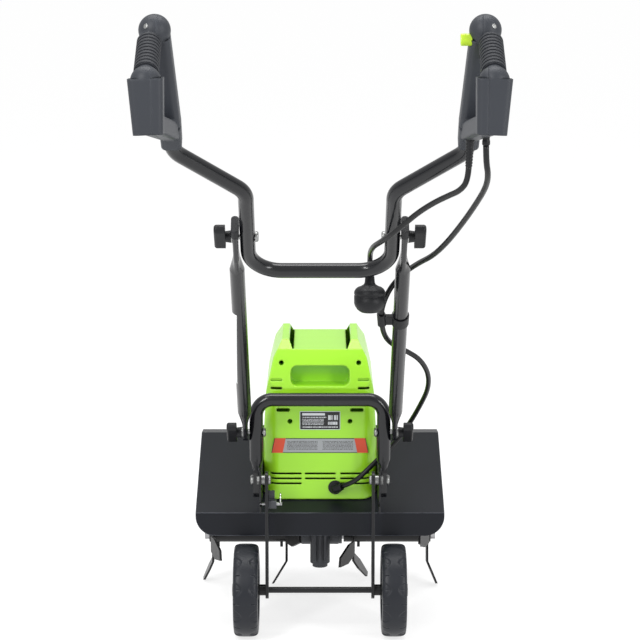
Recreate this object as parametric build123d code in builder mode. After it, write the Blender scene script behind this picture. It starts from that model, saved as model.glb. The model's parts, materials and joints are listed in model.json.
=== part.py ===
from build123d import *

import math
import os

# Corded electric tiller. Millimetres; +X to the operator's right, +Y ahead, +Z up; the origin is on the
# ground under the middle of the machine. Every file holds one piece, or a few alike ones.

os.makedirs("parts", exist_ok=True)

# ---------------------------------------------------------------- driving dimensions
# tines and drive
tine_y = 421.42  # tine shaft ahead of the origin
tine_z = 90.0  # tine shaft above the ground
tine_reach = 89.6  # blade tip from the shaft's axis
tine_plate = 4.0  # blade sheet
inner_star_x = 58.0
outer_star_x = 186.0
inner_star_bend = 27.0  # sideways set of a blade tip
outer_star_bend = 19.0
shaft_dia = 20.0
shaft_length = 400.0
hub_tube_dia = 30.0
wheel_teeth = 28  # bronze worm wheel
gear_module = 2.0
worm_pitch_dia = 18.0
worm_length = 30.0
worm_wheel_width = 12.0
rotor_dia = 10.0
# guard
guard_half_width = 203.0
guard_sheet = 2.0
guard_rear = 222.0  # rear fold behind the tine shaft
guard_fold_z = 191.0
guard_skirt = 38.0
guard_apex_z = 275.0
guard_apex_back = 17.0  # apex behind the tine shaft
guard_front = 82.0  # front edge ahead of the tine shaft
# housing
housing_rear = 192.0  # rear face behind the tine shaft
housing_front = 62.0  # front face ahead of the tine shaft
housing_half_width = 93.0
housing_top = 466.0
housing_wall = 3.0
flare_half_width = 124.0
pocket_half_width = 48.0
pocket_low = 395.0
pocket_high = 427.0
pocket_depth = 45.0
# motor
armature_dia = 52.0
stator_dia = 84.0
stator_low = 322.0
stator_high = 382.0
# lower handle
tube_dia = 22.0
tube_wall = 1.5
lower_leg_x = 103.0
lower_handle_back = 225.0  # plane of the lower handle behind the tine shaft
lower_handle_top = 381.0
lower_handle_foot = 219.0
lower_bend = 26.0
lower_knob_z = 327.0
# middle bars and upper handle
bar_reach = 514.0  # between the two knob axes
handle_angle = 46.7  # rise above the horizontal
bar_flat = 8.0
bar_flat_width = 27.0
bar_space = 2.2  # between a bar and the tube beside it
upper_leg_x = 103.0
upper_crossbar_down = 80.0  # below the upper knobs, along the handle
upper_bend_up = 100.0
upper_spread_up = 188.0
upper_bend = 48.0
spread_bend = 34.0
handle_top_x = 199.0
# grips
grip_x = 219.0
grip_core_dia = 26.0
sleeve_dia = 32.0
sleeve_ribs = 10
grip_wall = 2.5
# wheels and their bracket
wheel_dia = 150.0
wheel_width = 40.0
wheel_x = 119.0  # middle of the tread
axle_back = 268.0  # behind the tine shaft
axle_dia = 10.0
arm_x = 85.5
arm_plate = 5.0
arm_pivot_z = 258.0
arm_pivot_back = 264.0
bracket_x = 95.5
bracket_plate = 3.0
plunger_radius = 40.0  # plunger axis below the arm pivot
# fasteners and cords
bolt_dia = 8.0
cable_dia = 8.0
# clearances
running = 0.05  # radial, round a shaft
loose = 0.1  # radial, round a bolt
gap = 0.3  # between bodies that move past each other
body_gap = 2.0  # between parts of the castings and the sheet

# ---------------------------------------------------------------- places worked out from them
worm_radius = worm_pitch_dia / 2
wheel_pitch_radius = gear_module * wheel_teeth / 2
motor_y = tine_y - wheel_pitch_radius - worm_radius
handle_y = tine_y - lower_handle_back
slope = math.radians(handle_angle)
tube_r = tube_dia / 2
bar_x = lower_leg_x + tube_r + bar_space + bar_flat / 2
upper_knob_y = handle_y - bar_reach * math.cos(slope)
upper_knob_z = lower_knob_z + bar_reach * math.sin(slope)
rear_face = tine_y - housing_rear
front_face = tine_y + housing_front
split_y = motor_y - 32.0
axle_y = tine_y - axle_back
axle_z = wheel_dia / 2
pivot_y = tine_y - arm_pivot_back
deck_z = guard_apex_z + 8.0


def up(distance):
    """A point of the upper handle's centre plane, measured up the handle from the upper knobs."""
    return upper_knob_y - distance * math.cos(slope), upper_knob_z + distance * math.sin(slope)


def keep(name, piece):
    """Labels a finished piece and writes it."""
    piece.label = name
    export_step(piece, f"parts/{name}.step")
    return piece


def other_side(piece):
    """The same piece for the left side."""
    return mirror(piece, about=Plane.YZ)


def both_sides(piece):
    """Two alike solids as one group."""
    return Compound(children=[*piece.solids(), *other_side(piece).solids()])


def group(*pieces):
    """Separate solids as one group."""
    return Compound(children=[solid for piece in pieces for solid in piece.solids()])


def rod(start, end, dia):
    """A plain round bar between two points."""
    direction = Vector(end) - Vector(start)
    with BuildPart(mode=Mode.PRIVATE) as made:
        with BuildSketch(Plane(origin=start, z_dir=direction)):
            Circle(dia / 2)
        extrude(amount=direction.length)
    return made.part


def ring(x, y, z, outer, inner, width, axis=Axis.X):
    """A ring about an axis through (x, y, z), centred there."""
    with BuildPart(mode=Mode.PRIVATE) as made:
        with BuildSketch(Plane(origin=(x, y, z), z_dir=axis.direction)):
            Circle(outer / 2)
            Circle(inner / 2, mode=Mode.SUBTRACT)
        extrude(amount=width / 2, both=True)
    return made.part


def swept_tube(points, radii, outer, wall):
    """A bent round tube."""
    with BuildPart(mode=Mode.PRIVATE) as made:
        with BuildLine() as route:
            FilletPolyline(*points, radius=radii)
        with BuildSketch(Plane(origin=route.line @ 0, z_dir=route.line % 0)):
            Circle(outer / 2)
            if wall:
                Circle(outer / 2 - wall, mode=Mode.SUBTRACT)
        sweep()
    return made.part


# ---------------------------------------------------------------- tine guard
fold_y = tine_y - guard_rear
apex_y = tine_y - guard_apex_back
bend_y = fold_y + 33.0
bend_z = guard_fold_z + 14.0
front_y = tine_y + guard_front
guard_rise = (guard_apex_z - bend_z) / (apex_y - bend_y)


def guard_top(y):
    """Height of the guard's long rear slope at y."""
    return bend_z + (y - bend_y) * guard_rise


neck_hole = 62.0
with BuildPart() as tine_guard:
    with BuildSketch(Plane.YZ):
        with BuildLine() as sheet_line:
            Polyline(
                (fold_y - 3.0, guard_fold_z - guard_skirt),
                (fold_y, guard_fold_z),
                (bend_y, bend_z),
                (apex_y, guard_apex_z),
                (front_y - 52.0, guard_apex_z - 6.0),
                (front_y, guard_apex_z - 52.0),
            )
            offset(amount=guard_sheet, side=Side.RIGHT, closed=True)
        make_face()
    extrude(amount=guard_half_width, both=True)
    with BuildSketch(Plane.XY.offset(guard_apex_z - 60.0)):
        with Locations((0, motor_y)):
            Circle(neck_hole / 2)
    extrude(amount=80.0, mode=Mode.SUBTRACT)
    with BuildSketch(Plane.XZ.offset(-fold_y - 12.0)):
        for side in (-1, 1):
            with Locations((side * guard_half_width, guard_fold_z - guard_skirt)):
                Rectangle(64.0, 64.0)
            with Locations((side * (guard_half_width - 32.0), guard_fold_z - guard_skirt + 32.0)):
                Circle(32.0, mode=Mode.SUBTRACT)
    extrude(amount=24.0, mode=Mode.SUBTRACT)
keep("tine_guard", tine_guard.part)

# ---------------------------------------------------------------- green housing
flare_low = guard_top(rear_face)
shoulder_y = motor_y - 95.0


def housing_body(inset, drop):
    """The housing's outer form, moved in by inset and with its bottom lowered by drop: the common part of its
    front view, its side view and its plan."""
    half = housing_half_width - inset
    top = housing_top - inset
    with BuildPart(mode=Mode.PRIVATE) as made:
        with BuildSketch(Plane.XZ):
            with BuildLine():
                Polyline(
                    (half, flare_low - drop),
                    (half, 300.0),
                    (half - 5.0, 385.0),
                    (half - 17.0, 440.0 - inset),
                    (half - 31.0, top),
                    (half - 42.0, top),
                    (half - 48.0, top - 14.0),
                    (-half + 48.0, top - 14.0),
                    (-half + 42.0, top),
                    (-half + 31.0, top),
                    (-half + 17.0, 440.0 - inset),
                    (-half + 5.0, 385.0),
                    (-half, 300.0),
                    (-half, flare_low - drop),
                    close=True,
                )
            make_face()
        extrude(amount=-600.0)
        with BuildSketch(Plane.YZ):
            with BuildLine():
                Polyline(
                    (rear_face + inset, guard_top(rear_face) + body_gap - drop),
                    (rear_face + inset, pocket_low - 3.0),
                    (rear_face + 24.0 + inset * 0.6, top - 14.0),
                    (rear_face + 40.0 + inset * 0.6, top),
                    (motor_y + 18.0, top),
                    (front_face - 16.0 - inset, top - 46.0),
                    (front_face - inset, 340.0),
                    (front_face - inset, deck_z + 2.0 - drop),
                    (apex_y, deck_z - drop),
                    close=True,
                )
            make_face()
        extrude(amount=200.0, both=True, mode=Mode.INTERSECT)
        with BuildSketch(Plane.XY):
            with Locations((0, (rear_face + front_face) / 2)):
                RectangleRounded(2 * half, front_face - rear_face - 2 * inset, 26.0 - inset)
        extrude(amount=600.0, mode=Mode.INTERSECT)
    return made.part


vent_columns = ((-57.5, 55.0, 3), (0.5, 51.0, 2), (58.5, 51.0, 3))
screw_spots = [(63.0, 431.0), (49.0, 337.0)]
screw_places = [(side * x, z) for x, z in screw_spots for side in (-1, 1)]
boss_dia = 10.0
screw_dia = 4.0
screw_head_dia = 8.0
screw_length = 34.0
outer_body = housing_body(0.0, 0.0)
inner_body = housing_body(housing_wall, 60.0)
gland_x = 25.0
gland_z = 226.0
gland_dia = 15.0

with BuildPart() as housing:
    add(outer_body)
    add(inner_body, mode=Mode.SUBTRACT)
    with BuildSketch(Plane.XZ.offset(-rear_face - 0.8)):
        with Locations((0, (pocket_low + pocket_high) / 2)):
            RectangleRounded(
                2 * (pocket_half_width + housing_wall), pocket_high - pocket_low + 2 * housing_wall, 14.0
            )
    extrude(amount=-pocket_depth)
    add(outer_body, mode=Mode.INTERSECT)
    with BuildSketch(Plane.XZ.offset(-rear_face + 1.0)):
        with Locations((0, (pocket_low + pocket_high) / 2)):
            RectangleRounded(2 * pocket_half_width, pocket_high - pocket_low, 11.0)
    extrude(amount=-pocket_depth + housing_wall, mode=Mode.SUBTRACT)
    with BuildSketch(Plane.XZ.offset(-rear_face - 1.0)):
        for x, z in screw_places:
            with Locations((x, z)):
                Circle(boss_dia / 2)
    extrude(amount=-(front_face - rear_face))
    add(outer_body, mode=Mode.INTERSECT)
    with BuildSketch(Plane.XZ.offset(-rear_face + 1.0)):
        for x, z in screw_places:
            with Locations((x, z)):
                Circle(screw_dia / 2)
    extrude(amount=-(split_y - rear_face) - 15.0, mode=Mode.SUBTRACT)
    head_floor = split_y - 14.0
    with BuildSketch(Plane.XZ.offset(-rear_face + 1.0)):
        for x, z in screw_places:
            with Locations((x, z)):
                Circle(screw_head_dia / 2)
    extrude(amount=-(head_floor - rear_face) - 1.0, mode=Mode.SUBTRACT)
    # cooling slots low on the rear face, in three columns
    with BuildSketch(Plane.XZ.offset(-rear_face + 5.0)):
        for x, width, rows in vent_columns:
            for row in range(rows):
                with Locations((x, 249.0 - 8.4 * row)):
                    SlotOverall(width, 3.2)
        for side in (-1, 1):
            for row in range(3):
                with Locations((side * 71.0, 405.0 - 13.0 * row)):
                    SlotOverall(19.0, 4.0)
            with Locations((side * 60.0, 356.0)):
                SlotOverall(22.0, 6.0)
        with Locations((gland_x, gland_z)):
            Circle(gland_dia / 2 + 1.0)
    extrude(amount=-12.0, mode=Mode.SUBTRACT)
    # matching slots high on the front face
    with BuildSketch(Plane.XZ.offset(-front_face + 20.0)):
        for row in range(5):
            with Locations((0, 330.0 + 12.0 * row)):
                SlotOverall(110.0, 4.0)
    extrude(amount=-30.0, mode=Mode.SUBTRACT)

with BuildPart() as rear_housing:
    add(housing.part)
    split(bisect_by=Plane.XZ.offset(-split_y), keep=Keep.TOP)
with BuildPart() as front_housing:
    add(housing.part)
    split(bisect_by=Plane.XZ.offset(-split_y), keep=Keep.BOTTOM)
print("rear housing solids", len(rear_housing.part.solids()), "front", len(front_housing.part.solids()))
keep("rear_housing", rear_housing.part)
keep("front_housing", front_housing.part)

# ---------------------------------------------------------------- gland
gland_length = 14.0
# ---------------------------------------------------------------- deck and side brackets
neck_dia = 44.0
with BuildPart() as motor_deck:
    with BuildSketch(Plane.XY.offset(deck_z)):
        with Locations((0, motor_y + 14.0)):
            RectangleRounded(150.0, 110.0, 12.0)
        with Locations((0, motor_y)):
            Circle(neck_dia / 2 + body_gap, mode=Mode.SUBTRACT)
    extrude(amount=3.0)

foot_y = handle_y
foot_bolt_z = 247.0
pivot_hole = bolt_dia + 2 * loose
bracket_inner = bracket_x - bracket_plate / 2
with BuildPart() as right_side_bracket:
    with BuildSketch(Plane.YZ.offset(bracket_inner)):
        Polygon(
            (pivot_y - 18.0, arm_pivot_z + 18.0),
            (pivot_y - 18.0, arm_pivot_z - 26.0),
            (pivot_y - 12.0, arm_pivot_z - 52.0),
            (pivot_y + 26.0, arm_pivot_z - 52.0),
            (rear_face + 12.0, guard_top(rear_face + 12.0) + guard_sheet + 1.0),
            (apex_y - 20.0, guard_top(apex_y - 20.0) + guard_sheet + 1.0),
            (apex_y - 20.0, guard_top(apex_y - 20.0) + 26.0),
            (handle_y + 14.0, foot_bolt_z + 12.0),
            (pivot_y + 20.0, foot_bolt_z + 12.0),
            (pivot_y + 10.0, arm_pivot_z + 18.0),
            align=None,
        )
    extrude(amount=bracket_plate)
    with BuildSketch(Plane.YZ.offset(bracket_inner - 1.0)):
        with Locations((pivot_y, arm_pivot_z), (foot_y, foot_bolt_z)):
            Circle(pivot_hole / 2)
        # scalloped track of the depth stops, round the arm's pivot
        with Locations((pivot_y, arm_pivot_z)):
            with PolarLocations(plunger_radius, 6, start_angle=-90 - 45, angular_range=54):
                Circle(3.6)
            SlotArc(
                Edge.make_circle(plunger_radius, start_angle=-90 - 45, end_angle=-90 + 1),
                5.4,
            )
    extrude(amount=bracket_plate + 2.0, mode=Mode.SUBTRACT)
keep("chassis_plates", group(motor_deck.part, both_sides(right_side_bracket.part)))

# ---------------------------------------------------------------- lower handle
foot_round_z = foot_bolt_z + 34.0
foot_x = lower_leg_x
with BuildPart() as lower_handle:
    add(
        swept_tube(
            [
                (-lower_leg_x, handle_y, foot_round_z),
                (-lower_leg_x, handle_y, lower_handle_top),
                (lower_leg_x, handle_y, lower_handle_top),
                (lower_leg_x, handle_y, foot_round_z),
            ],
            [lower_bend, lower_bend],
            tube_dia,
            tube_wall,
        )
    )
    for side in (-1, 1):
        with BuildSketch(Plane.XY.offset(foot_round_z)):
            with Locations((side * lower_leg_x, handle_y)):
                Circle(tube_r)
        with BuildSketch(Plane.XY.offset(foot_bolt_z + 14.0)):
            with Locations((side * foot_x, handle_y)):
                RectangleRounded(10.0, 28.0, 4.5)
        loft()
        with BuildSketch(Plane.YZ.offset(side * foot_x)):
            with Locations((handle_y, foot_bolt_z)):
                SlotOverall(2 * (foot_bolt_z - lower_handle_foot), 28.0, rotation=90)
        extrude(amount=5.0, both=True)
    for z in (foot_bolt_z, lower_knob_z):
        with BuildSketch(Plane.YZ.offset(-150.0)):
            with Locations((handle_y, z)):
                Circle(pivot_hole / 2)
        extrude(amount=300.0, mode=Mode.SUBTRACT)
keep("lower_handle", lower_handle.part)


def bolt(start_x, end_x, y, z, head_dia, head):
    """A round-head bolt along X from start_x to end_x, its head beyond start_x, for the right side."""
    way = 1 if end_x > start_x else -1
    with BuildPart(mode=Mode.PRIVATE) as made:
        add(rod((start_x, y, z), (end_x, y, z), bolt_dia))
        with BuildSketch(Plane(origin=(start_x, y, z), z_dir=(-way, 0, 0))):
            Circle(head_dia / 2)
        extrude(amount=head)
        fillet(made.faces().sort_by(Axis.X)[0 if way > 0 else -1].edges(), head * 0.6)
    return made.part


def nut(x, y, z, across, width):
    """A hexagon nut about X, from x outwards."""
    with BuildPart(mode=Mode.PRIVATE) as made:
        with BuildSketch(Plane.YZ.offset(x)):
            with Locations((y, z)):
                RegularPolygon(across / 2, 6, major_radius=False)
                Circle(bolt_dia / 2, mode=Mode.SUBTRACT)
        extrude(amount=width)
    return made.part


foot_outer = foot_x + 5.0
foot_inner = foot_x - 5.0
with BuildPart() as foot_bolt:
    add(bolt(foot_outer, bracket_inner - 5.5, handle_y, foot_bolt_z, 17.0, 5.0))
foot_nut = nut(bracket_inner - 5.5, handle_y, foot_bolt_z, 13.0, 5.5)
keep("handle_foot_bolts", both_sides(group(foot_bolt.part, foot_nut)))

# ---------------------------------------------------------------- middle bars
bar_cap_reach = 24.0
bar_direction = Vector(0, -math.cos(slope), math.sin(slope))
bar_plane = Plane(origin=(bar_x, handle_y, lower_knob_z), x_dir=(1, 0, 0), z_dir=bar_direction)
pinch = 32.0  # length over which the tube is pressed flat
flat_low = 30.0
flat_high = 44.0
round_low = flat_low + pinch
round_high = bar_reach - flat_high - pinch


def bar_section(height, flat):
    """A section of the middle bar at a height above its lower bolt."""
    with BuildSketch(bar_plane.offset(height), mode=Mode.PRIVATE) as made:
        if flat:
            RectangleRounded(bar_flat, bar_flat_width, bar_flat / 2 - 0.2)
        else:
            Circle(tube_r)
    return made.sketch


with BuildPart() as right_middle_bar:
    with BuildSketch(Plane.YZ.offset(bar_x)):
        with Locations((handle_y, lower_knob_z)):
            Circle(bar_flat_width / 2)
    extrude(amount=bar_flat / 2, both=True)
    extrude(bar_section(0.0, True), amount=flat_low)
    loft([bar_section(flat_low, True), bar_section(round_low, False)])
    extrude(bar_section(round_low, False), amount=round_high - round_low)
    loft([bar_section(round_high, False), bar_section(bar_reach - flat_high, True)])
    extrude(bar_section(bar_reach - flat_high, True), amount=flat_high + bar_cap_reach)
    for reach in (0.0, bar_reach):
        spot = bar_plane.origin + bar_direction * reach
        with BuildSketch(Plane.YZ.offset(bar_x - 20.0)):
            with Locations((spot.Y, spot.Z)):
                Circle(pivot_hole / 2)
        extrude(amount=40.0, mode=Mode.SUBTRACT)
    with BuildSketch(bar_plane.offset(round_low + 2.0)):
        Circle(tube_r - tube_wall)
    extrude(amount=round_high - round_low - 4.0, mode=Mode.SUBTRACT)
right_bar = keep("right_middle_bar", right_middle_bar.part)
keep("left_middle_bar", other_side(right_bar))

with BuildPart() as bar_cap:
    with BuildSketch(bar_plane.offset(bar_reach + bar_cap_reach - 12.0)):
        RectangleRounded(bar_flat + 3.0, bar_flat_width + 3.0, bar_flat / 2 + 1.0)
    extrude(amount=16.0)
    with BuildSketch(bar_plane.offset(bar_reach + bar_cap_reach - 13.0)):
        RectangleRounded(bar_flat, bar_flat_width, bar_flat / 2 - 0.2)
    extrude(amount=13.0, mode=Mode.SUBTRACT)
keep("bar_end_caps", both_sides(bar_cap.part))

# ---------------------------------------------------------------- upper handle
spread_y, spread_z = up(upper_spread_up)
bend_up_y, bend_up_z = up(upper_bend_up)
cross_y, cross_z = up(-upper_crossbar_down)
tube_end = 245.0
end_y, end_z = up(tube_end)
with BuildPart() as upper_handle:
    add(
        swept_tube(
            [
                (-handle_top_x, end_y, end_z),
                (-handle_top_x, spread_y, spread_z),
                (-upper_leg_x, bend_up_y, bend_up_z),
                (-upper_leg_x, cross_y, cross_z),
                (upper_leg_x, cross_y, cross_z),
                (upper_leg_x, bend_up_y, bend_up_z),
                (handle_top_x, spread_y, spread_z),
                (handle_top_x, end_y, end_z),
            ],
            [spread_bend, spread_bend, upper_bend, upper_bend, spread_bend, spread_bend],
            tube_dia,
            tube_wall,
        )
    )
    with BuildSketch(Plane.YZ.offset(-150.0)):
        with Locations((upper_knob_y, upper_knob_z)):
            Circle(pivot_hole / 2)
    extrude(amount=300.0, mode=Mode.SUBTRACT)
keep("upper_handle", upper_handle.part)

# ---------------------------------------------------------------- knobs and their bolts
knob_start = bar_x + bar_flat / 2 + 2.0
knob_reach = 24.0
for name, y, z in (("lower", handle_y, lower_knob_z), ("upper", upper_knob_y, upper_knob_z)):
    inner = lower_leg_x - tube_r - gap
    with BuildPart() as handle_bolt:
        add(bolt(inner, knob_start + 10.0, y, z, 15.0, 4.5))
    with BuildPart() as washer:
        add(ring(knob_start - 1.0, y, z, 18.0, bolt_dia, 2.0 - 2 * running))
    keep(f"{name}_knob_bolts", both_sides(group(handle_bolt.part, washer.part)))
    with BuildPart() as knob:
        with BuildSketch(Plane.YZ.offset(knob_start + gap)):
            with Locations((y, z)):
                Circle(9.0)
        with BuildSketch(Plane.YZ.offset(knob_start + gap + 10.0)):
            with Locations((y, z)):
                Circle(7.5)
        loft()
        with BuildSketch(Plane.YZ.offset(knob_start + gap + 8.0)):
            with Locations((y, z)):
                SlotOverall(48.0, 15.0, rotation=handle_angle + 90)
        extrude(amount=knob_reach - 8.0)
        fillet(knob.faces().sort_by(Axis.X)[-1].edges(), 4.0)
        with BuildSketch(Plane.YZ.offset(knob_start)):
            with Locations((y, z)):
                Circle(bolt_dia / 2 + running)
        extrude(amount=11.0, mode=Mode.SUBTRACT)
    right_knob = keep(f"right_{name}_knob", knob.part)
    keep(f"left_{name}_knob", other_side(right_knob))


# ---------------------------------------------------------------- grips
grip_rear = Vector(grip_x, handle_y - 686.0, 951.0)
grip_front = grip_rear + Vector(0, 100.0, 46.0)
post_low = Vector(grip_x - 5.0, grip_rear.Y - 4.0, 882.0)
post_top = Vector(grip_x - 2.0, grip_rear.Y - 2.0, 952.0)
nose = grip_front + Vector(-6.0, 4.0, 8.0)
tube_in = Vector(handle_top_x, end_y, end_z)
socket = Vector(handle_top_x, *up(206.0))
leg_top = nose + Vector(-8.0, 2.0, -8.0)


def bar_between(start, end, size_start, size_end, inset, corner):
    """A rounded bar whose section changes between two points; each size is across X, then across the bar."""
    direction = (end - start).normalized()
    with BuildPart(mode=Mode.PRIVATE) as made:
        for point, (across, deep) in ((start, size_start), (end, size_end)):
            with BuildSketch(Plane(origin=point, x_dir=(1, 0, 0), z_dir=direction)):
                RectangleRounded(across - 2 * inset, deep - 2 * inset, corner - inset)
        loft()
    return made.part


def grip_body(inset):
    """The closed hand loop: rear post, hand bar, nose, front leg round the tube, and the lower bar."""
    with BuildPart(mode=Mode.PRIVATE) as made:
        add(bar_between(post_low + Vector(0, 0, inset), post_top, (38.0, 34.0), (45.0, 36.0), inset, 8.0))
        with Locations(post_top + Vector(0, 1.0, -4.0)):
            Sphere(19.5 - inset)
        add(rod(post_top, grip_front, grip_core_dia - 2 * inset))
        with Locations(nose):
            Sphere(21.0 - inset)
        add(bar_between(leg_top, tube_in, (24.0, 30.0), (29.0, 32.0), inset, 8.0))
        socket_end = socket + (tube_in - socket).normalized() * inset
        add(bar_between(tube_in, socket_end, (29.0, 32.0), (28.0, 30.0), inset, 8.0))
        bar_end = tube_in - (tube_in - socket).normalized() * 18.0
        add(bar_between(post_low + Vector(0, 6.0, 13.0), bar_end, (32.0, 26.0), (26.0, 26.0), inset, 7.0))
    return made.part


grip_split = 209.0
cable_exit = Vector(214.8, post_low.Y + 92.0, 858.0)
bushing_dia = 10.5
strain_top = Vector(198.0, post_low.Y + 140.0, 866.0)
strain_end = Vector(197.0, strain_top.Y + 8.0, 824.0)
strain_dia = 12.0
tube_fit = rod((handle_top_x, *up(190.0)), tube_in, tube_dia)
with BuildPart() as grip_shell:
    add(grip_body(0.0))
    add(grip_body(grip_wall), mode=Mode.SUBTRACT)
    # collar that holds the end of the tube
    add(rod(socket, tube_in + (tube_in - socket).normalized() * 3.0, 27.0))
    add(tube_fit, mode=Mode.SUBTRACT)
plain_grip = grip_shell.part
trigger_x = 212.0
trigger_width = 12.0
button_spot = Vector(0, nose.Y - 2.0, nose.Z - 12.0)
grip_middle = (grip_rear + grip_front) * 0.5
grip_axis = (grip_front - grip_rear).normalized()
grip_down = Vector(0, grip_axis.Z, -grip_axis.Y)
with BuildPart() as switched_grip:
    add(plain_grip)
    # slot for the trigger under the hand bar
    with BuildSketch(Plane(origin=grip_middle + grip_axis * 18.0, x_dir=(1, 0, 0), z_dir=grip_down)):
        with Locations((trigger_x - grip_x, 0)):
            Rectangle(trigger_width + 2 * gap + 0.4, 60.0)
    extrude(amount=grip_core_dia, mode=Mode.SUBTRACT)
    # opening for the lock-off button on the inner side of the nose
    with BuildSketch(Plane.YZ.offset(leg_top.X - 30.0)):
        with Locations((button_spot.Y, button_spot.Z)):
            SlotOverall(17.0, 11.0, rotation=70)
    extrude(amount=28.0, mode=Mode.SUBTRACT)
    add(rod(cable_exit, cable_exit + Vector(0, 0, 20.0), bushing_dia), mode=Mode.SUBTRACT)
    add(rod(strain_end, strain_top + (strain_top - strain_end) * 0.2, strain_dia), mode=Mode.SUBTRACT)


def halves(piece, side_name):
    """Splits a grip into its outer and inner shells."""
    with BuildPart() as outer_half:
        add(piece)
        split(bisect_by=Plane.YZ.offset(grip_split), keep=Keep.TOP)
    with BuildPart() as inner_half:
        add(piece)
        split(bisect_by=Plane.YZ.offset(grip_split), keep=Keep.BOTTOM)
    for half, name in ((outer_half.part, "outer"), (inner_half.part, "inner")):
        print(side_name, name, "solids", [round(s.volume) for s in half.solids()])
    return outer_half.part, inner_half.part


trigger_pin = grip_middle + grip_axis * 42.0 + grip_down * 7.0 + Vector(trigger_x - grip_x, 0, 0)
with BuildPart() as pinned_grip:
    add(switched_grip.part)
    add(rod(trigger_pin + Vector(grip_split - trigger_x, 0, 0), trigger_pin + Vector(16.0, 0, 0), 4.0))
right_outer, right_inner = halves(pinned_grip.part, "right")
left_outer, left_inner = halves(plain_grip, "left")
keep("right_grip_outer_shell", right_outer)
keep("right_grip_inner_shell", right_inner)
keep("left_grip_shells", other_side(group(left_outer, left_inner)))

# ribbed rubber sleeve on each hand bar
sleeve_length = 84.0
sleeve_start = 12.0
hand_bar = (grip_front - post_top).normalized()
sleeve_axis = Axis(post_top + hand_bar * sleeve_start, hand_bar)
rib_pitch = sleeve_length / sleeve_ribs
with BuildPart() as sleeve:
    add(
        rod(
            sleeve_axis.position,
            sleeve_axis.position + sleeve_axis.direction * sleeve_length,
            sleeve_dia - 2.4,
        )
    )
    for rib in range(sleeve_ribs):
        start = sleeve_axis.position + sleeve_axis.direction * (rib_pitch * (rib + 0.2))
        add(rod(start, start + sleeve_axis.direction * rib_pitch * 0.6, sleeve_dia))
    add(
        rod(
            sleeve_axis.position - sleeve_axis.direction,
            sleeve_axis.position + sleeve_axis.direction * (sleeve_length + 1.0),
            grip_core_dia,
        ),
        mode=Mode.SUBTRACT,
    )
    add(grip_body(0.0), mode=Mode.SUBTRACT)
plain_sleeve = max(sleeve.part.solids(), key=lambda solid: solid.volume)
with BuildPart() as slotted_sleeve:
    add(plain_sleeve)
    with BuildSketch(Plane(origin=grip_middle + grip_axis * 18.0, x_dir=(1, 0, 0), z_dir=grip_down)):
        with Locations((trigger_x - grip_x, 0)):
            Rectangle(trigger_width + 2 * gap + 0.4, 60.0)
    extrude(amount=grip_core_dia, mode=Mode.SUBTRACT)
keep("grip_sleeves", group(slotted_sleeve.part, other_side(plain_sleeve)))

# trigger, its pin and spring, and the lock-off button
with BuildPart() as trigger:
    trigger_root = (trigger_x, grip_middle.Y, grip_middle.Z)
    with BuildSketch(Plane(origin=trigger_root, x_dir=grip_axis, z_dir=(1, 0, 0))):
        with BuildLine():
            Polyline((46.5, -3.5), (46.5, -13.0), (30.0, -27.0), (4.0, -33.0), (-9.0, -31.0))
            Polyline((-9.0, -31.0), (-9.0, -10.0), (20.0, -7.0), (46.5, -3.5))
        make_face()
        with Locations((42.0, -7.0)):
            Circle(2.1, mode=Mode.SUBTRACT)
    extrude(amount=trigger_width / 2, both=True)
keep("trigger", trigger.part)
spring_foot = grip_middle + grip_axis * 8.0 + grip_down * 3.0 + Vector(trigger_x - grip_x, 0, 0)
with BuildPart() as trigger_spring:
    add(rod(spring_foot - grip_down * 6.0, spring_foot + grip_down * 4.0, 5.0))
    add(rod(spring_foot - grip_down * 7.0, spring_foot + grip_down * 5.0, 3.4), mode=Mode.SUBTRACT)
button_out = leg_top.X - 24.0
with BuildPart() as lockout_button:
    with BuildSketch(Plane.YZ.offset(button_out)):
        with Locations((button_spot.Y, button_spot.Z)):
            SlotOverall(16.2, 10.2, rotation=70)
    extrude(amount=15.0)
    fillet(lockout_button.faces().sort_by(Axis.X)[0].edges(), 1.6)
keep("lockout_button", lockout_button.part)
button_spring = ring(button_out + 19.0, button_spot.Y, button_spot.Z, 6.0, 4.6, 5.0)
keep("grip_springs", group(trigger_spring.part, button_spring))
with BuildPart() as power_switch:
    with Locations((post_low.X, post_low.Y + 2.0, 916.0)):
        Box(20.0, 18.0, 40.0)
keep("power_switch", power_switch.part)

# ---------------------------------------------------------------- wheels and their bracket
arm_inner = arm_x - arm_plate / 2
arm_outer = arm_x + arm_plate / 2
stop_y = pivot_y
stop_z = arm_pivot_z - plunger_radius


wheel_outer = wheel_x + wheel_width / 2


def arm(side):
    """One flat arm, from its pivot down to the axle."""
    with BuildPart(mode=Mode.PRIVATE) as made:
        with BuildSketch(Plane.YZ.offset(arm_inner)):
            with Locations((pivot_y, arm_pivot_z), (axle_y, axle_z)):
                Circle(14.0)
            Polygon(
                (pivot_y - 14.0, arm_pivot_z),
                (pivot_y + 14.0, arm_pivot_z),
                (axle_y + 14.0, axle_z),
                (axle_y - 14.0, axle_z),
                align=None,
            )
            with Locations((pivot_y, arm_pivot_z)):
                Circle(bolt_dia / 2 + running, mode=Mode.SUBTRACT)
            if side < 0:
                with Locations((stop_y, stop_z)):
                    Circle(2.7, mode=Mode.SUBTRACT)
        extrude(amount=arm_plate)
    return other_side(made.part) if side < 0 else made.part


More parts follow.
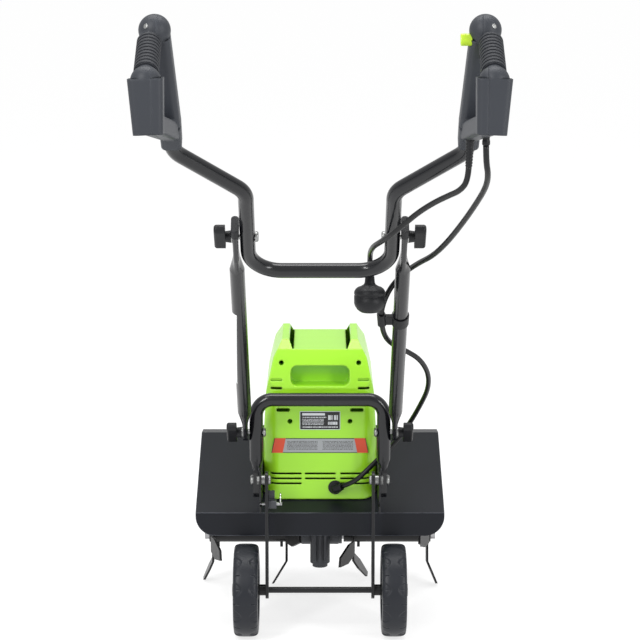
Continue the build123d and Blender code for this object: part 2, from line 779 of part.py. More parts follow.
# the two arms and the axle are welded into one frame
with BuildPart() as wheel_frame:
    add(rod((-wheel_outer - 3.0, axle_y, axle_z), (wheel_outer + 3.0, axle_y, axle_z), axle_dia))
    add(arm(1))
    add(arm(-1))
keep("wheel_frame", wheel_frame.part)
with BuildPart() as pivot_bolt:
    add(bolt(arm_inner - gap, bracket_inner + bracket_plate + 4.0, pivot_y, arm_pivot_z, 15.0, 4.0))
pivot_nut = nut(bracket_inner + bracket_plate, pivot_y, arm_pivot_z, 13.0, 4.0)
pivot_spacer = ring((arm_outer + gap + bracket_inner) / 2, pivot_y, arm_pivot_z, 16.0, bolt_dia,
                    bracket_inner - arm_outer - gap)
keep("arm_pivot_bolts", both_sides(group(pivot_bolt.part, pivot_nut, pivot_spacer)))
with BuildPart() as axle_cap:
    add(ring(wheel_outer + gap + 1.2, axle_y, axle_z, 20.0, axle_dia, 2.4))
axle_spacer = ring((arm_outer + wheel_x - wheel_width / 2 - gap) / 2, axle_y, axle_z, 18.0, axle_dia,
                   wheel_x - wheel_width / 2 - gap - arm_outer)
keep("axle_washers", both_sides(group(axle_cap.part, axle_spacer)))

tyre_inner_r = 50.0
with BuildPart() as wheel_rim:
    add(ring(wheel_x, axle_y, axle_z, 30.0, axle_dia + 2 * running, wheel_width))
    add(ring(wheel_x, axle_y, axle_z, 2 * tyre_inner_r - 2.0, 29.0, 6.0))
    add(ring(wheel_x, axle_y, axle_z, 2 * tyre_inner_r, 2 * tyre_inner_r - 8.0, wheel_width - 6.0))
right_rim = keep("right_wheel_rim", wheel_rim.part)
keep("left_wheel_rim", other_side(right_rim))
with BuildPart() as tyre:
    with BuildSketch(Plane(origin=(wheel_x, axle_y, axle_z), x_dir=(1, 0, 0), z_dir=(0, -1, 0))):
        with BuildLine():
            half = wheel_width / 2
            tread_r = wheel_dia / 2
            Polyline(
                (-half + 3.0, tyre_inner_r),
                (-half, tyre_inner_r + 6.0),
                (-half, tread_r - 5.0),
                (-half + 5.0, tread_r - 0.8),
                (0, tread_r),
                (half - 5.0, tread_r - 0.8),
                (half, tread_r - 5.0),
                (half, tyre_inner_r + 6.0),
                (half - 3.0, tyre_inner_r),
                close=True,
            )
        make_face()
    revolve(axis=Axis((wheel_x, axle_y, axle_z), (1, 0, 0)))
right_tyre = keep("right_tyre", tyre.part)
keep("left_tyre", other_side(right_tyre))

# depth-stop plunger on the left arm
plunger_dia = 4.8
plunger_case = 13.0
case_start = -arm_inner
with BuildPart() as plunger_housing:
    with BuildSketch(Plane.YZ.offset(case_start)):
        with Locations((stop_y, stop_z)):
            RectangleRounded(13.0, 13.0, 2.0)
            Circle(4.4, mode=Mode.SUBTRACT)
    extrude(amount=plunger_case)
    with BuildSketch(Plane.YZ.offset(case_start + plunger_case - 2.5)):
        with Locations((stop_y, stop_z)):
            Circle(5.0)
            Circle(plunger_dia / 2 + running, mode=Mode.SUBTRACT)
    extrude(amount=2.5)
    with BuildSketch(Plane.XY.offset(stop_z + 6.0)):
        with Locations((case_start + 5.0, stop_y + 5.0)):
            Rectangle(10.0, 3.0)
    extrude(amount=15.0)
keep("plunger_housing", plunger_housing.part)
plunger_tip = -(bracket_inner + bracket_plate) + 0.5
with BuildPart() as stop_plunger:
    add(rod((plunger_tip, stop_y, stop_z), (case_start + plunger_case + 9.0, stop_y, stop_z), plunger_dia))
    add(ring(case_start + 1.3, stop_y, stop_z, 8.4, plunger_dia, 1.6))
keep("stop_plunger", stop_plunger.part)
with BuildPart() as pull_ring:
    with Locations(Location((case_start + plunger_case + 6.5, stop_y, stop_z + 9.0), (0, 90, 0))):
        Torus(9.0, 1.2)
    add(rod((0, stop_y, stop_z), (-120.0, stop_y, stop_z), plunger_dia), mode=Mode.SUBTRACT)
keep("plunger_pull_ring", pull_ring.part)
keep("plunger_spring", ring(case_start + 6.2, stop_y, stop_z, 8.0, 5.8, 7.6))

# ---------------------------------------------------------------- tines
star_reach = tine_reach - 1.2


def blade(bend):
    """One blade of a tine star, pointing up from the shaft's axis, its tip set sideways by bend."""
    half = tine_plate / 2
    with BuildPart(mode=Mode.PRIVATE) as made:
        with BuildSketch(Plane.XZ):
            Polygon(
                (-half, 10.0),
                (half, 10.0),
                (half, 48.0),
                (bend + half, star_reach + 4.0),
                (bend - half, star_reach + 4.0),
                (-half, 48.0),
                align=None,
            )
        extrude(amount=30.0, both=True)
        with BuildSketch(Plane.YZ):
            with BuildLine():
                Polyline((-13.0, 0), (-13.0, 46.0), (-21.0, 66.0), (-14.0, star_reach))
                Line((-14.0, star_reach), (4.0, star_reach - 2.0))
                Polyline((4.0, star_reach - 2.0), (15.0, 62.0), (13.0, 40.0), (13.0, 0), (-13.0, 0))
            make_face()
        extrude(amount=60.0, both=True, mode=Mode.INTERSECT)
    return made.part


def star(x, bend, turn):
    """A four-blade tine star at x, its blade tips set to either side by turns, turned about the shaft."""
    with BuildPart(mode=Mode.PRIVATE) as made:
        with BuildSketch(Plane.YZ.offset(x)):
            with Locations((tine_y, tine_z)):
                Circle(25.0)
        extrude(amount=tine_plate / 2, both=True)
        for number in range(4):
            with Locations(Location((x, tine_y, tine_z), (90.0 * number + turn, 0, 0))):
                add(blade(bend if number % 2 else -bend))
        with BuildSketch(Plane.YZ.offset(x)):
            with Locations((tine_y, tine_z)):
                Circle(hub_tube_dia / 2)
        extrude(amount=60.0, both=True, mode=Mode.SUBTRACT)
    return made.part


inner_stars = group(star(-inner_star_x, inner_star_bend, 165.0), star(inner_star_x, inner_star_bend, 105.0))
outer_stars = group(star(-outer_star_x, outer_star_bend, 186.0), star(outer_star_x, outer_star_bend, 76.0))
keep("inner_tines", inner_stars)
keep("outer_tines", outer_stars)

hub_start = 41.0
hub_end = outer_star_x + 6.0
pin_dia = 5.0
pin_spots = (inner_star_x + 9.0, outer_star_x - 9.0)
with BuildPart() as tine_shaft:
    add(rod((-shaft_length / 2, tine_y, tine_z), (shaft_length / 2, tine_y, tine_z), shaft_dia))
    for side in (-1, 1):
        for x in pin_spots:
            pin_hole = rod((side * x, tine_y, tine_z - 40.0), (side * x, tine_y, tine_z + 40.0), pin_dia)
            add(pin_hole, mode=Mode.SUBTRACT)
keep("tine_shaft", tine_shaft.part)
with BuildPart() as hub_tube:
    add(ring((hub_start + hub_end) / 2, tine_y, tine_z, hub_tube_dia, shaft_dia, hub_end - hub_start))
    for x in pin_spots:
        add(rod((x, tine_y, tine_z - 40.0), (x, tine_y, tine_z + 40.0), pin_dia), mode=Mode.SUBTRACT)
with BuildPart() as pins:
    for x in pin_spots:
        add(rod((x, tine_y, tine_z - 24.0), (x, tine_y, tine_z + 21.0), pin_dia))
keep("tine_hubs_and_pins", both_sides(group(hub_tube.part, pins.part)))

# ---------------------------------------------------------------- worm drive
tooth_share = 0.40  # of the pitch, at the pitch line
circular_pitch = math.pi * gear_module
addendum = 0.9 * gear_module
dedendum = 1.1 * gear_module
flank = math.tan(math.radians(14.5))
lead_angle = math.atan(circular_pitch / (math.pi * worm_pitch_dia))
root_r = wheel_pitch_radius - dedendum
tip_r = wheel_pitch_radius + addendum


def wheel_section():
    """The worm wheel's outline across its axis, one tooth towards -X of the sketch."""
    points = []
    for tooth in range(wheel_teeth):
        middle = math.pi + 2 * math.pi * tooth / wheel_teeth
        for radius, way in ((root_r, -1), (tip_r, -1), (tip_r, 1), (root_r, 1)):
            half = tooth_share * circular_pitch / 2 - (radius - wheel_pitch_radius) * flank
            angle = middle + way * half / radius
            points.append((radius * math.cos(angle), radius * math.sin(angle)))
    return points


with BuildSketch() as wheel_face:
    Polygon(*wheel_section(), align=None)
    Circle(shaft_dia / 2, mode=Mode.SUBTRACT)
wheel_twist = math.degrees(worm_wheel_width * math.tan(lead_angle) / wheel_pitch_radius)
wheel_solid = Solid.extrude_linear_with_rotation(
    wheel_face.face(), center=(0, 0, 0), normal=(0, 0, worm_wheel_width), angle=wheel_twist
)
wheel_place = Plane(origin=(-worm_wheel_width / 2, tine_y, tine_z), x_dir=(0, 1, 0), z_dir=(1, 0, 0)).location
worm_wheel = wheel_place * Rot(0, 0, -wheel_twist / 2) * wheel_solid
keep("worm_wheel", Compound(children=[worm_wheel]))


def worm_section():
    """The single-start worm's outline across its axis: its thread's axial profile wrapped once round."""
    low_r = worm_radius - dedendum
    high_r = worm_radius + addendum
    share = tooth_share - 2 * addendum * flank / circular_pitch
    rise = (addendum + dedendum) * flank / circular_pitch
    crest = math.pi * share
    foot = crest + 2 * math.pi * rise

    def at(radius, angle):
        return radius * math.cos(angle), radius * math.sin(angle)

    with BuildSketch() as made:
        with BuildLine():
            ThreePointArc(at(high_r, -crest), at(high_r, 0), at(high_r, crest))
            Line(at(high_r, crest), at(low_r, foot))
            ThreePointArc(at(low_r, foot), at(low_r, math.pi), at(low_r, -foot))
            Line(at(low_r, -foot), at(high_r, -crest))
        make_face()
    return made.face()


worm_turn = 360.0 * worm_length / circular_pitch
worm_solid = Solid.extrude_linear_with_rotation(
    worm_section(), center=(0, 0, 0), normal=(0, 0, worm_length), angle=worm_turn
)
# at the height of the tine shaft the thread's gap, not its crest, faces the wheel
worm_phase = 90.0 + 180.0 - worm_turn / 2
worm = Pos(0, motor_y, tine_z - worm_length / 2) * Rot(0, 0, worm_phase) * worm_solid

# ---------------------------------------------------------------- gear case
case_half = 38.0
ear_angles = (-95, -40, 15, 70)
chamber_r = 38.0
chamber_half = 13.0
bearing_seat_dia = 30.0
bearing_width = 8.0
boss_r = 19.0
worm_case_r = 17.0
worm_case_low = 50.0
neck_r = neck_dia / 2
flange_dia = 68.0
flange_thick = 4.0
worm_clear_r = worm_radius + addendum + 1.4
motor_seat_dia = 22.0
with BuildPart() as gear_case:
    add(rod((-chamber_half, tine_y, tine_z), (chamber_half, tine_y, tine_z), 2 * chamber_r))
    add(rod((-case_half + 6.0, tine_y, tine_z), (case_half - 6.0, tine_y, tine_z), 2 * boss_r))
    add(rod((-case_half, tine_y, tine_z), (case_half, tine_y, tine_z), 2 * boss_r - 2.0))
    add(rod((0, motor_y, worm_case_low), (0, motor_y, tine_z + 48.0), 2 * worm_case_r))
    add(rod((0, motor_y, worm_case_low - 7.0), (0, motor_y, worm_case_low), 26.0))
    add(rod((0, motor_y, tine_z + 40.0), (0, motor_y, deck_z), neck_dia))
    add(rod((0, motor_y, deck_z - flange_thick), (0, motor_y, deck_z), flange_dia))
    for x in (-9.0, 0.0, 9.0):
        with BuildSketch(Plane.XY.offset(worm_case_low + 6.0)):
            with Locations((x, motor_y - worm_case_r + 1.0)):
                Rectangle(4.0, 7.0)
        extrude(amount=88.0)
    for angle in ear_angles:
        ear_y = tine_y + (chamber_r + 5.0) * math.cos(math.radians(angle))
        ear_z = tine_z + (chamber_r + 5.0) * math.sin(math.radians(angle))
        add(rod((-9.0, ear_y, ear_z), (9.0, ear_y, ear_z), 12.0))
    # bearing seats, wheel chamber, worm chamber and shaft passages
    add(rod((-60.0, tine_y, tine_z), (60.0, tine_y, tine_z), bearing_seat_dia), mode=Mode.SUBTRACT)
    add(
        rod((3.0 - chamber_half, tine_y, tine_z), (chamber_half - 3.0, tine_y, tine_z), 2 * tip_r + 4.8),
        mode=Mode.SUBTRACT,
    )
    for low, high, dia in (
        (worm_case_low + 10.0, tine_z + 40.0, 2 * worm_clear_r),
        (worm_case_low - 1.0, deck_z + 1.0, rotor_dia + 5.0),
    ):
        add(rod((0, motor_y, low), (0, motor_y, high), dia), mode=Mode.SUBTRACT)
    for z in (worm_case_low + 3.0, deck_z - 12.0):
        add(rod((0, motor_y, z), (0, motor_y, z + 7.0), motor_seat_dia), mode=Mode.SUBTRACT)
for name, side in (("right", Keep.TOP), ("left", Keep.BOTTOM)):
    with BuildPart() as half_case:
        add(gear_case.part)
        split(bisect_by=Plane.YZ, keep=side)
    print(name, "gear case", [round(s.volume) for s in half_case.part.solids()])
    keep(f"gear_case_{name}_half", half_case.part)
bearing_places = [side * (case_half - 4.0 - bearing_width / 2 - 0.5) for side in (-1, 1)]
with BuildPart() as shaft_bearings:
    for x in bearing_places:
        add(ring(x, tine_y, tine_z, bearing_seat_dia, shaft_dia + 2 * running, bearing_width))
with BuildPart() as seals:
    for side in (-1, 1):
        add(ring(side * (case_half - 2.0), tine_y, tine_z, bearing_seat_dia, shaft_dia + 2 * loose, 4.0))
keep("shaft_seals", seals.part)
with BuildPart() as case_screws:
    for angle in ear_angles:
        ear_y = tine_y + (chamber_r + 5.0) * math.cos(math.radians(angle))
        ear_z = tine_z + (chamber_r + 5.0) * math.sin(math.radians(angle))
        with BuildSketch(Plane.YZ.offset(9.0)):
            with Locations((ear_y, ear_z)):
                RegularPolygon(3.6, 6, major_radius=False)
        extrude(amount=3.0)
keep("gear_case_screws", case_screws.part)

# ---------------------------------------------------------------- motor
deck_top = deck_z + 3.0
leg_ring_r = stator_dia / 2 + 4.2
frame_top = 408.0
shaft_top = frame_top + 6.0
leg_angles = (45, 135, 225, 315)
with BuildPart() as motor_frame:
    for angle in leg_angles:
        x = leg_ring_r * math.cos(math.radians(angle))
        y = motor_y + leg_ring_r * math.sin(math.radians(angle))
        add(rod((x, y, deck_top), (x, y, frame_top), 8.0))
    add(ring(0, motor_y, frame_top + 2.0, 2 * leg_ring_r + 11.0, motor_seat_dia, 4.0, Axis.Z))
keep("motor_frame", motor_frame.part)
stator_middle = (stator_low + stator_high) / 2
with BuildPart() as stator:
    add(ring(0, motor_y, stator_middle, stator_dia, armature_dia + 1.6, stator_high - stator_low, Axis.Z))
with BuildPart() as windings:
    for z in (stator_low - 3.5, stator_high + 3.0):
        add(ring(0, motor_y, z, stator_dia - 6.0, armature_dia + 4.0, 6.0, Axis.Z))
keep("motor_stator", group(stator.part, windings.part))
brush_z = 394.0
commutator_dia = 24.0
with BuildPart() as brushes:
    for side in (-1, 1):
        with Locations((0, motor_y + side * (commutator_dia / 2 + 0.4 + 9.0), brush_z)):
            Box(9.0, 18.0, 12.0)
keep("brush_holders", brushes.part)
with BuildPart() as rotor_bearings:
    for z, width in ((worm_case_low + 6.5, 7.0), (deck_z - 8.5, 7.0), (frame_top + 2.0, 4.0)):
        add(ring(0, motor_y, z, motor_seat_dia, rotor_dia + 2 * running, width, Axis.Z))
keep("ball_bearings", group(shaft_bearings.part, rotor_bearings.part))
with BuildPart() as rotor_shaft:
    add(rod((0, motor_y, worm_case_low + 2.0), (0, motor_y, shaft_top), rotor_dia))
    add(worm)
print("rotor shaft", [round(s.volume) for s in rotor_shaft.part.solids()])
keep("rotor_shaft", rotor_shaft.part)
with BuildPart() as armature:
    core_length = stator_high - stator_low - 4.0
    add(ring(0, motor_y, stator_middle, armature_dia, rotor_dia, core_length, Axis.Z))
    with BuildSketch(Plane.XY.offset(stator_low - 5.0)):
        with Locations((0, motor_y)):
            with PolarLocations(armature_dia / 2 - 3.0, 12):
                Rectangle(9.0, 3.0)
    extrude(amount=80.0, mode=Mode.SUBTRACT)
keep("armature", armature.part)
keep("commutator", ring(0, motor_y, brush_z, commutator_dia, rotor_dia, 16.0, Axis.Z))
fan_z = 302.0
with BuildPart() as fan:
    add(ring(0, motor_y, fan_z, 26.0, rotor_dia, 14.0, Axis.Z))
    add(ring(0, motor_y, fan_z + 6.0, 78.0, rotor_dia, 2.0, Axis.Z))
    with BuildSketch(Plane.XY.offset(fan_z - 7.0)):
        with Locations((0, motor_y)):
            with PolarLocations(25.0, 9):
                Rectangle(28.0, 2.0, rotation=18.0)
    extrude(amount=12.5)
keep("cooling_fan", fan.part)

# ---------------------------------------------------------------- fasteners of the housing, grips and deck
with BuildPart() as screw_set:
    for x, z in screw_places:
        with BuildSketch(Plane.XZ.offset(-head_floor)):
            with Locations((x, z)):
                Circle(screw_head_dia / 2)
                RegularPolygon(2.4, 6, mode=Mode.SUBTRACT)
        extrude(amount=3.0)
        with BuildSketch(Plane.XZ.offset(-head_floor)):
            with Locations((x, z)):
                Circle(screw_dia / 2)
        extrude(amount=-26.0)
keep("housing_screws", screw_set.part)

# ---------------------------------------------------------------- cable clip on the right bar
clip_point = Vector(92.0, handle_y - 219.0, 555.5)
clip_reach = (clip_point.Z - lower_knob_z) / math.sin(slope)
clip_plane = bar_plane.offset(clip_reach)
cable_local = clip_plane.to_local_coords(clip_point)
clip_direction = Vector(2.0, 14.0, -21.0).normalized()
with BuildPart() as cable_clip:
    with BuildSketch(clip_plane):
        Circle(tube_r + 2.0)
        with Locations(((cable_local.X) / 2, cable_local.Y / 2)):
            Rectangle(abs(cable_local.X) - 6.0, 6.0)
    extrude(amount=10.0, both=True)
    add(rod(clip_point - clip_direction * 11.0, clip_point + clip_direction * 11.0, cable_dia + 5.0))
    with BuildSketch(clip_plane):
        Circle(tube_r)
    extrude(amount=20.0, both=True, mode=Mode.SUBTRACT)
    cable_way = clip_direction * 30.0
    add(rod(clip_point - cable_way, clip_point + cable_way, cable_dia), mode=Mode.SUBTRACT)
keep("cable_clip", cable_clip.part)

# ---------------------------------------------------------------- cords
def cord(label, points):
    """A plain tube along a cord's route: straight runs joined by arcs as large as the runs allow."""
    points = [Vector(point) for point in points]
    runs = [after - before for before, after in zip(points, points[1:])]
    radii = []
    for first, second in zip(runs, runs[1:]):
        turn = math.radians(first.get_angle(second))
        radii.append(0.45 * min(first.length, second.length) / math.tan(turn / 2))
    with BuildPart(mode=Mode.PRIVATE) as made:
        with BuildLine() as route:
            FilletPolyline(*points, radius=radii)
        with BuildSketch(Plane(origin=route.line @ 0, z_dir=route.line % 0)):
            Circle(cable_dia / 2)
        sweep()
    length = sum(edge.length for edge in route.line.edges())
    share = made.part.volume / (length * math.pi * cable_dia**2 / 4)
    print(label, "length", round(length), "volume share", round(share, 4))
    print("  runs", [round(run.length) for run in runs], "radii", [round(radius) for radius in radii])
    return keep(label, made.part)


# gland at the foot of the rear housing, its mouth to the right
gland_way = Vector(0.80, -0.45, 0.40).normalized()
gland_root = Vector(gland_x, rear_face - 4.0, gland_z - 2.0)
gland_mouth = gland_root + gland_way * gland_length
with BuildPart() as gland:
    with BuildSketch(Plane(origin=gland_root, z_dir=gland_way)):
        Circle(gland_dia / 2 - 0.5)
    with BuildSketch(Plane(origin=gland_mouth, z_dir=gland_way)):
        Circle(cable_dia / 2 + 1.8)
    loft()
    with Locations(gland_root):
        Sphere(gland_dia / 2 - 0.5)
    with BuildSketch(Plane.XZ.offset(-rear_face)):
        with Locations((gland_x, gland_z)):
            Circle(gland_dia / 2 + 4.0)
    extrude(amount=2.0)
    with BuildSketch(Plane.XZ.offset(-rear_face)):
        with Locations((gland_x, gland_z)):
            Circle(gland_dia / 2 - 0.5)
    extrude(amount=-housing_wall - 5.0)
keep("motor_cable_gland", gland.part)

def at(x, behind, z):
    """A point of a cord's route, its second size measured from the lower handle's plane."""
    return Vector(x, handle_y + behind, z)


motor_cable_top = [
    cable_exit,
    cable_exit + Vector(0.4, 0.5, -21.0),
    at(219.5, -584.0, 817.5),
    at(219.0, -552.0, 797.0),
    at(209.0, -506.0, 768.0),
    at(196.0, -462.0, 738.0),
    at(178.0, -408.0, 702.0),
    at(161.0, -350.0, 673.0),
    at(142.0, -295.0, 653.0),
    at(122.0, -255.0, 631.0),
    at(105.0, -243.0, 609.0),
    at(95.0, -237.0, 587.0),
    at(91.0, -226.0, 566.0),
    clip_point,
]
motor_cable_low = [
    clip_point,
    at(93.0, -212.0, 545.0),
    at(96.0, -190.0, 529.0),
    at(103.0, -162.0, 512.0),
    at(116.0, -134.0, 497.0),
    at(134.0, -114.0, 485.0),
    at(156.0, -94.0, 468.0),
    at(171.0, -66.0, 440.0),
    at(173.0, -32.0, 407.0),
    at(163.0, 4.0, 373.0),
    at(149.0, 34.0, 338.0),
    at(132.0, 40.0, 311.0),
    at(113.0, 30.0, 291.0),
    at(94.0, 20.0, 276.0),
    at(75.0, 11.0, 259.0),
    gland_mouth + gland_way * 24.0,
    gland_mouth,
]
cord("motor_cable_upper", motor_cable_top)
cord("motor_cable_lower", motor_cable_low)

plug_x = 73.0
plug_y = handle_y - 268.0
plug_top = 634.0
pigtail_route = [
    strain_end,
    strain_end + (strain_end - strain_top).normalized() * 20.0,
    at(187.0, -522.0, 789.0),
    at(173.0, -497.0, 779.0),
    at(154.0, -468.0, 765.0),
    at(134.0, -439.0, 747.0),
    at(115.0, -419.0, 727.0),
    at(99.0, -403.0, 711.0),
    at(86.0, -380.0, 698.0),
    at(77.0, -348.0, 687.0),
    at(74.0, -314.0, 676.0),
    at(plug_x, -288.0, 667.0),
    at(plug_x, -272.5, 653.0),
    at(plug_x, -268.0, plug_top + 1.0),
]
cord("pigtail", pigtail_route)

plug_dia = 46.0
plug_length = 58.0
with BuildPart() as plug:
    with BuildSketch(Plane.XZ.offset(-plug_y)):
        with BuildLine():
            Polyline(
                (plug_x, plug_top),
                (plug_x + 6.5, plug_top),
                (plug_x + 8.0, plug_top - 14.0),
                (plug_x + 14.0, plug_top - 19.0),
                (plug_x + plug_dia / 2 - 3.0, plug_top - 22.0),
                (plug_x + plug_dia / 2, plug_top - 28.0),
                (plug_x + plug_dia / 2, plug_top - 46.0),
                (plug_x + plug_dia / 2 - 5.0, plug_top - plug_length + 3.0),
                (plug_x + plug_dia / 2 - 10.0, plug_top - plug_length),
                (plug_x, plug_top - plug_length),
                close=True,
            )
        make_face()
    revolve(axis=Axis((plug_x, plug_y, 0), (0, 0, 1)))
    with BuildSketch(Plane.XY.offset(plug_top - plug_length)):
        with Locations((plug_x, plug_y)):
            Circle(11.0)
    extrude(amount=16.0, mode=Mode.SUBTRACT)
with BuildPart() as plug_pins:
    for x in (-5.5, 5.5):
        with Locations((plug_x + x, plug_y, plug_top - plug_length + 8.0)):
            Box(1.6, 6.4, 16.0)
keep("plug", group(plug.part, plug_pins.part))

with BuildPart() as strain_relief:
    way = (strain_end - strain_top).normalized()
    with BuildSketch(Plane(origin=strain_end, z_dir=way)):
        Circle(cable_dia / 2 + 0.8)
    with BuildSketch(Plane(origin=strain_top, z_dir=way)):
        Circle(strain_dia / 2)
    loft()
    add(rod(strain_top, strain_top - way * 6.0, strain_dia - 0.4))
bushing = rod(cable_exit + Vector(0, 0, 0.5), cable_exit + Vector(0, 0, 19.0), bushing_dia)
keep("handle_cable_reliefs", group(strain_relief.part, bushing))
print("nodes", len(os.listdir("parts")))
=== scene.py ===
import json
import math

import bmesh
import bpy
import numpy as np
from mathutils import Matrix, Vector


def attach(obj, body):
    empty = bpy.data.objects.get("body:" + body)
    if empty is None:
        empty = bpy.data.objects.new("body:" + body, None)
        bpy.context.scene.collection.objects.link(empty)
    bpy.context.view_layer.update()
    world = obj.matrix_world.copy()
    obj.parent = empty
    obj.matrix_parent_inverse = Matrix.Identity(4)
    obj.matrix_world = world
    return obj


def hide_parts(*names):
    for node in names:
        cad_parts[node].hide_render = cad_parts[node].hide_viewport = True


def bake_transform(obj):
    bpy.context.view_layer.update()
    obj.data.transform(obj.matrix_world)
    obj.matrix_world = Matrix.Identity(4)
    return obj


# %% [markdown]
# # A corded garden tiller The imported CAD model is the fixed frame. This script dresses it: the cords, the
# moulded tyres, the labels and the small mouldings are surfaces worked out here, and every piece gets a
# procedural material. Metres, +Z up, +Y ahead.

# %% Frame
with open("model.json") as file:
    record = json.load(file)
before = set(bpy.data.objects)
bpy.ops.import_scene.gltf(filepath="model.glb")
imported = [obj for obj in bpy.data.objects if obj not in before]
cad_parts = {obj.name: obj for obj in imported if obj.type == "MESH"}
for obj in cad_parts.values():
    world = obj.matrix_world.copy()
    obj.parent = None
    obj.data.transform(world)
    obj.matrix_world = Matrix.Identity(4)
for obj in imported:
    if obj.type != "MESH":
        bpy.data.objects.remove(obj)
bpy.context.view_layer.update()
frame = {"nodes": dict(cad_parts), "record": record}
nodes = frame["nodes"]
print("CAD nodes", len(nodes))

# %% [markdown]
# The camera stands behind the machine, a little above its grips, and looks slightly down with a long lens.

# %% Camera
camera_data = bpy.data.cameras.new("camera")
camera = bpy.data.objects.new("camera", camera_data)
bpy.context.scene.collection.objects.link(camera)
camera.location = (0.0, -3.1486, 1.162)
camera.rotation_euler = (math.radians(79.0), 0.0, 0.0)
camera_data.lens = 119.8
camera_data.clip_end = 500.0
bpy.context.scene.camera = camera
print("camera lens", camera_data.lens)


# %% [markdown]
# ## Surfaces
# A surface is a grid of points, one row for each step along it and one column for each step round it.

# %% Surface builders
def mesh_piece(name, points, faces, smooth=True):
    """A mesh object at the origin from an (n, 3) array of points and an (m, 4) array of corner numbers."""
    mesh = bpy.data.meshes.new(name)
    points = np.asarray(points, np.float32).reshape(-1, 3)
    faces = np.asarray(faces, np.int32)
    sides = faces.shape[1]
    mesh.vertices.add(len(points))
    mesh.vertices.foreach_set("co", points.ravel())
    mesh.loops.add(faces.size)
    mesh.loops.foreach_set("vertex_index", faces.ravel())
    mesh.polygons.add(len(faces))
    mesh.polygons.foreach_set("loop_start", np.arange(0, faces.size, sides, dtype=np.int32))
    mesh.update(calc_edges=True)
    mesh.validate()
    mesh.polygons.foreach_set("use_smooth", np.full(len(mesh.polygons), smooth))
    piece = bpy.data.objects.new(name, mesh)
    bpy.context.scene.collection.objects.link(piece)
    return piece


def grid_faces(rows, columns, closed_rows):
    """Corner numbers of a grid whose columns close on themselves, and whose rows do too when closed_rows is
    true. Cell (i, j) joins points (i, j), (i, j+1), (i+1, j+1) and (i+1, j), counted round the closed
    ways."""
    i, j = np.meshgrid(np.arange(rows if closed_rows else rows - 1), np.arange(columns), indexing="ij")
    after_i, after_j = (i + 1) % rows, (j + 1) % columns
    corners = (i * columns + j, i * columns + after_j, after_i * columns + after_j, after_i * columns + j)
    return np.stack(corners, -1).reshape(-1, 4)


def capped(points):
    """A grid (rows, columns, 3) with both end rows drawn in to their centres in three rings, which closes it:
    each ring is centre + share * (row - centre) with shares 0.97, 0.5 and 0."""
    first, last = points[:1], points[-1:]
    shares = np.array([0.97, 0.5, 0.0])[:, None, None]
    head = first.mean(1, keepdims=True) + shares[::-1] * (first - first.mean(1, keepdims=True))
    tail = last.mean(1, keepdims=True) + shares * (last - last.mean(1, keepdims=True))
    return np.concatenate([head, points, tail])


def outward(piece):
    """Merges the points of each end ring that has closed to nothing, and turns every face outwards."""
    made = bmesh.new()
    made.from_mesh(piece.data)
    bmesh.ops.remove_doubles(made, verts=made.verts, dist=1e-7)
    bmesh.ops.recalc_face_normals(made, faces=made.faces)
    if made.calc_volume(signed=True) < 0:
        bmesh.ops.reverse_faces(made, faces=made.faces)
    made.to_mesh(piece.data)
    made.free()
    return piece


def turned(name, start, way, along, radius, sides=48):
    """A solid of revolution: point(u, a) = start + along(u) * way + radius(u) * (cos a * side + sin a *
    up), with side and up square to way. The end circles are drawn in to their centres."""
    way = np.asarray(way, float) / np.linalg.norm(way)
    side = np.cross(way, (0.0, 0.0, 1.0) if abs(way[2]) < 0.9 else (0.0, 1.0, 0.0))
    side /= np.linalg.norm(side)
    up = np.cross(way, side)
    angle = np.linspace(0.0, 2 * np.pi, sides, endpoint=False)
    ring = np.cos(angle)[:, None] * side + np.sin(angle)[:, None] * up
    along, radius = np.asarray(along, float), np.asarray(radius, float)
    points = np.asarray(start, float) + along[:, None, None] * way + radius[:, None, None] * ring
    points = capped(points)
    return outward(mesh_piece(name, points, grid_faces(len(points), sides, False)))


def plate(name, centre, across, up, size, thick, corner=0.0015, steps=6):
    """A thin rounded plate. Its outline is a rectangle with quarter-circle corners; it is carried along its
    normal (across x up) by its thickness, and the two faces are drawn in to their centres."""
    across, up = (np.asarray(v, float) / np.linalg.norm(v) for v in (across, up))
    normal = np.cross(across, up)
    quarter = np.linspace(0, np.pi / 2, steps)
    angle = np.concatenate([quarter + k * np.pi / 2 for k in range(4)])
    quadrant = np.repeat(np.arange(4), steps)
    centre_x = np.where((quadrant == 0) | (quadrant == 3), 1, -1) * (size[0] / 2 - corner)
    centre_y = np.where(quadrant < 2, 1, -1) * (size[1] / 2 - corner)
    outline = (centre_x + corner * np.cos(angle))[:, None] * across
    outline = outline + (centre_y + corner * np.sin(angle))[:, None] * up
    level = np.array([0.0, thick])[:, None, None]
    points = capped(np.asarray(centre, float) + outline[None] + level * normal)
    piece = mesh_piece(name, points, grid_faces(len(points), len(angle), False), smooth=False)
    return outward(piece)


# %% [markdown]
# ## Cords
# The route's points are those of the CAD tubes. A spline of order 3 over them is the cord's own centreline.

# %% Cord routes
handle_y = 0.19642
cable_dia = 0.008


def route(points):
    """Points in the row frame from points whose second number is measured from the lower handle's plane."""
    return [(x, handle_y + y, z) for x, y, z in points]


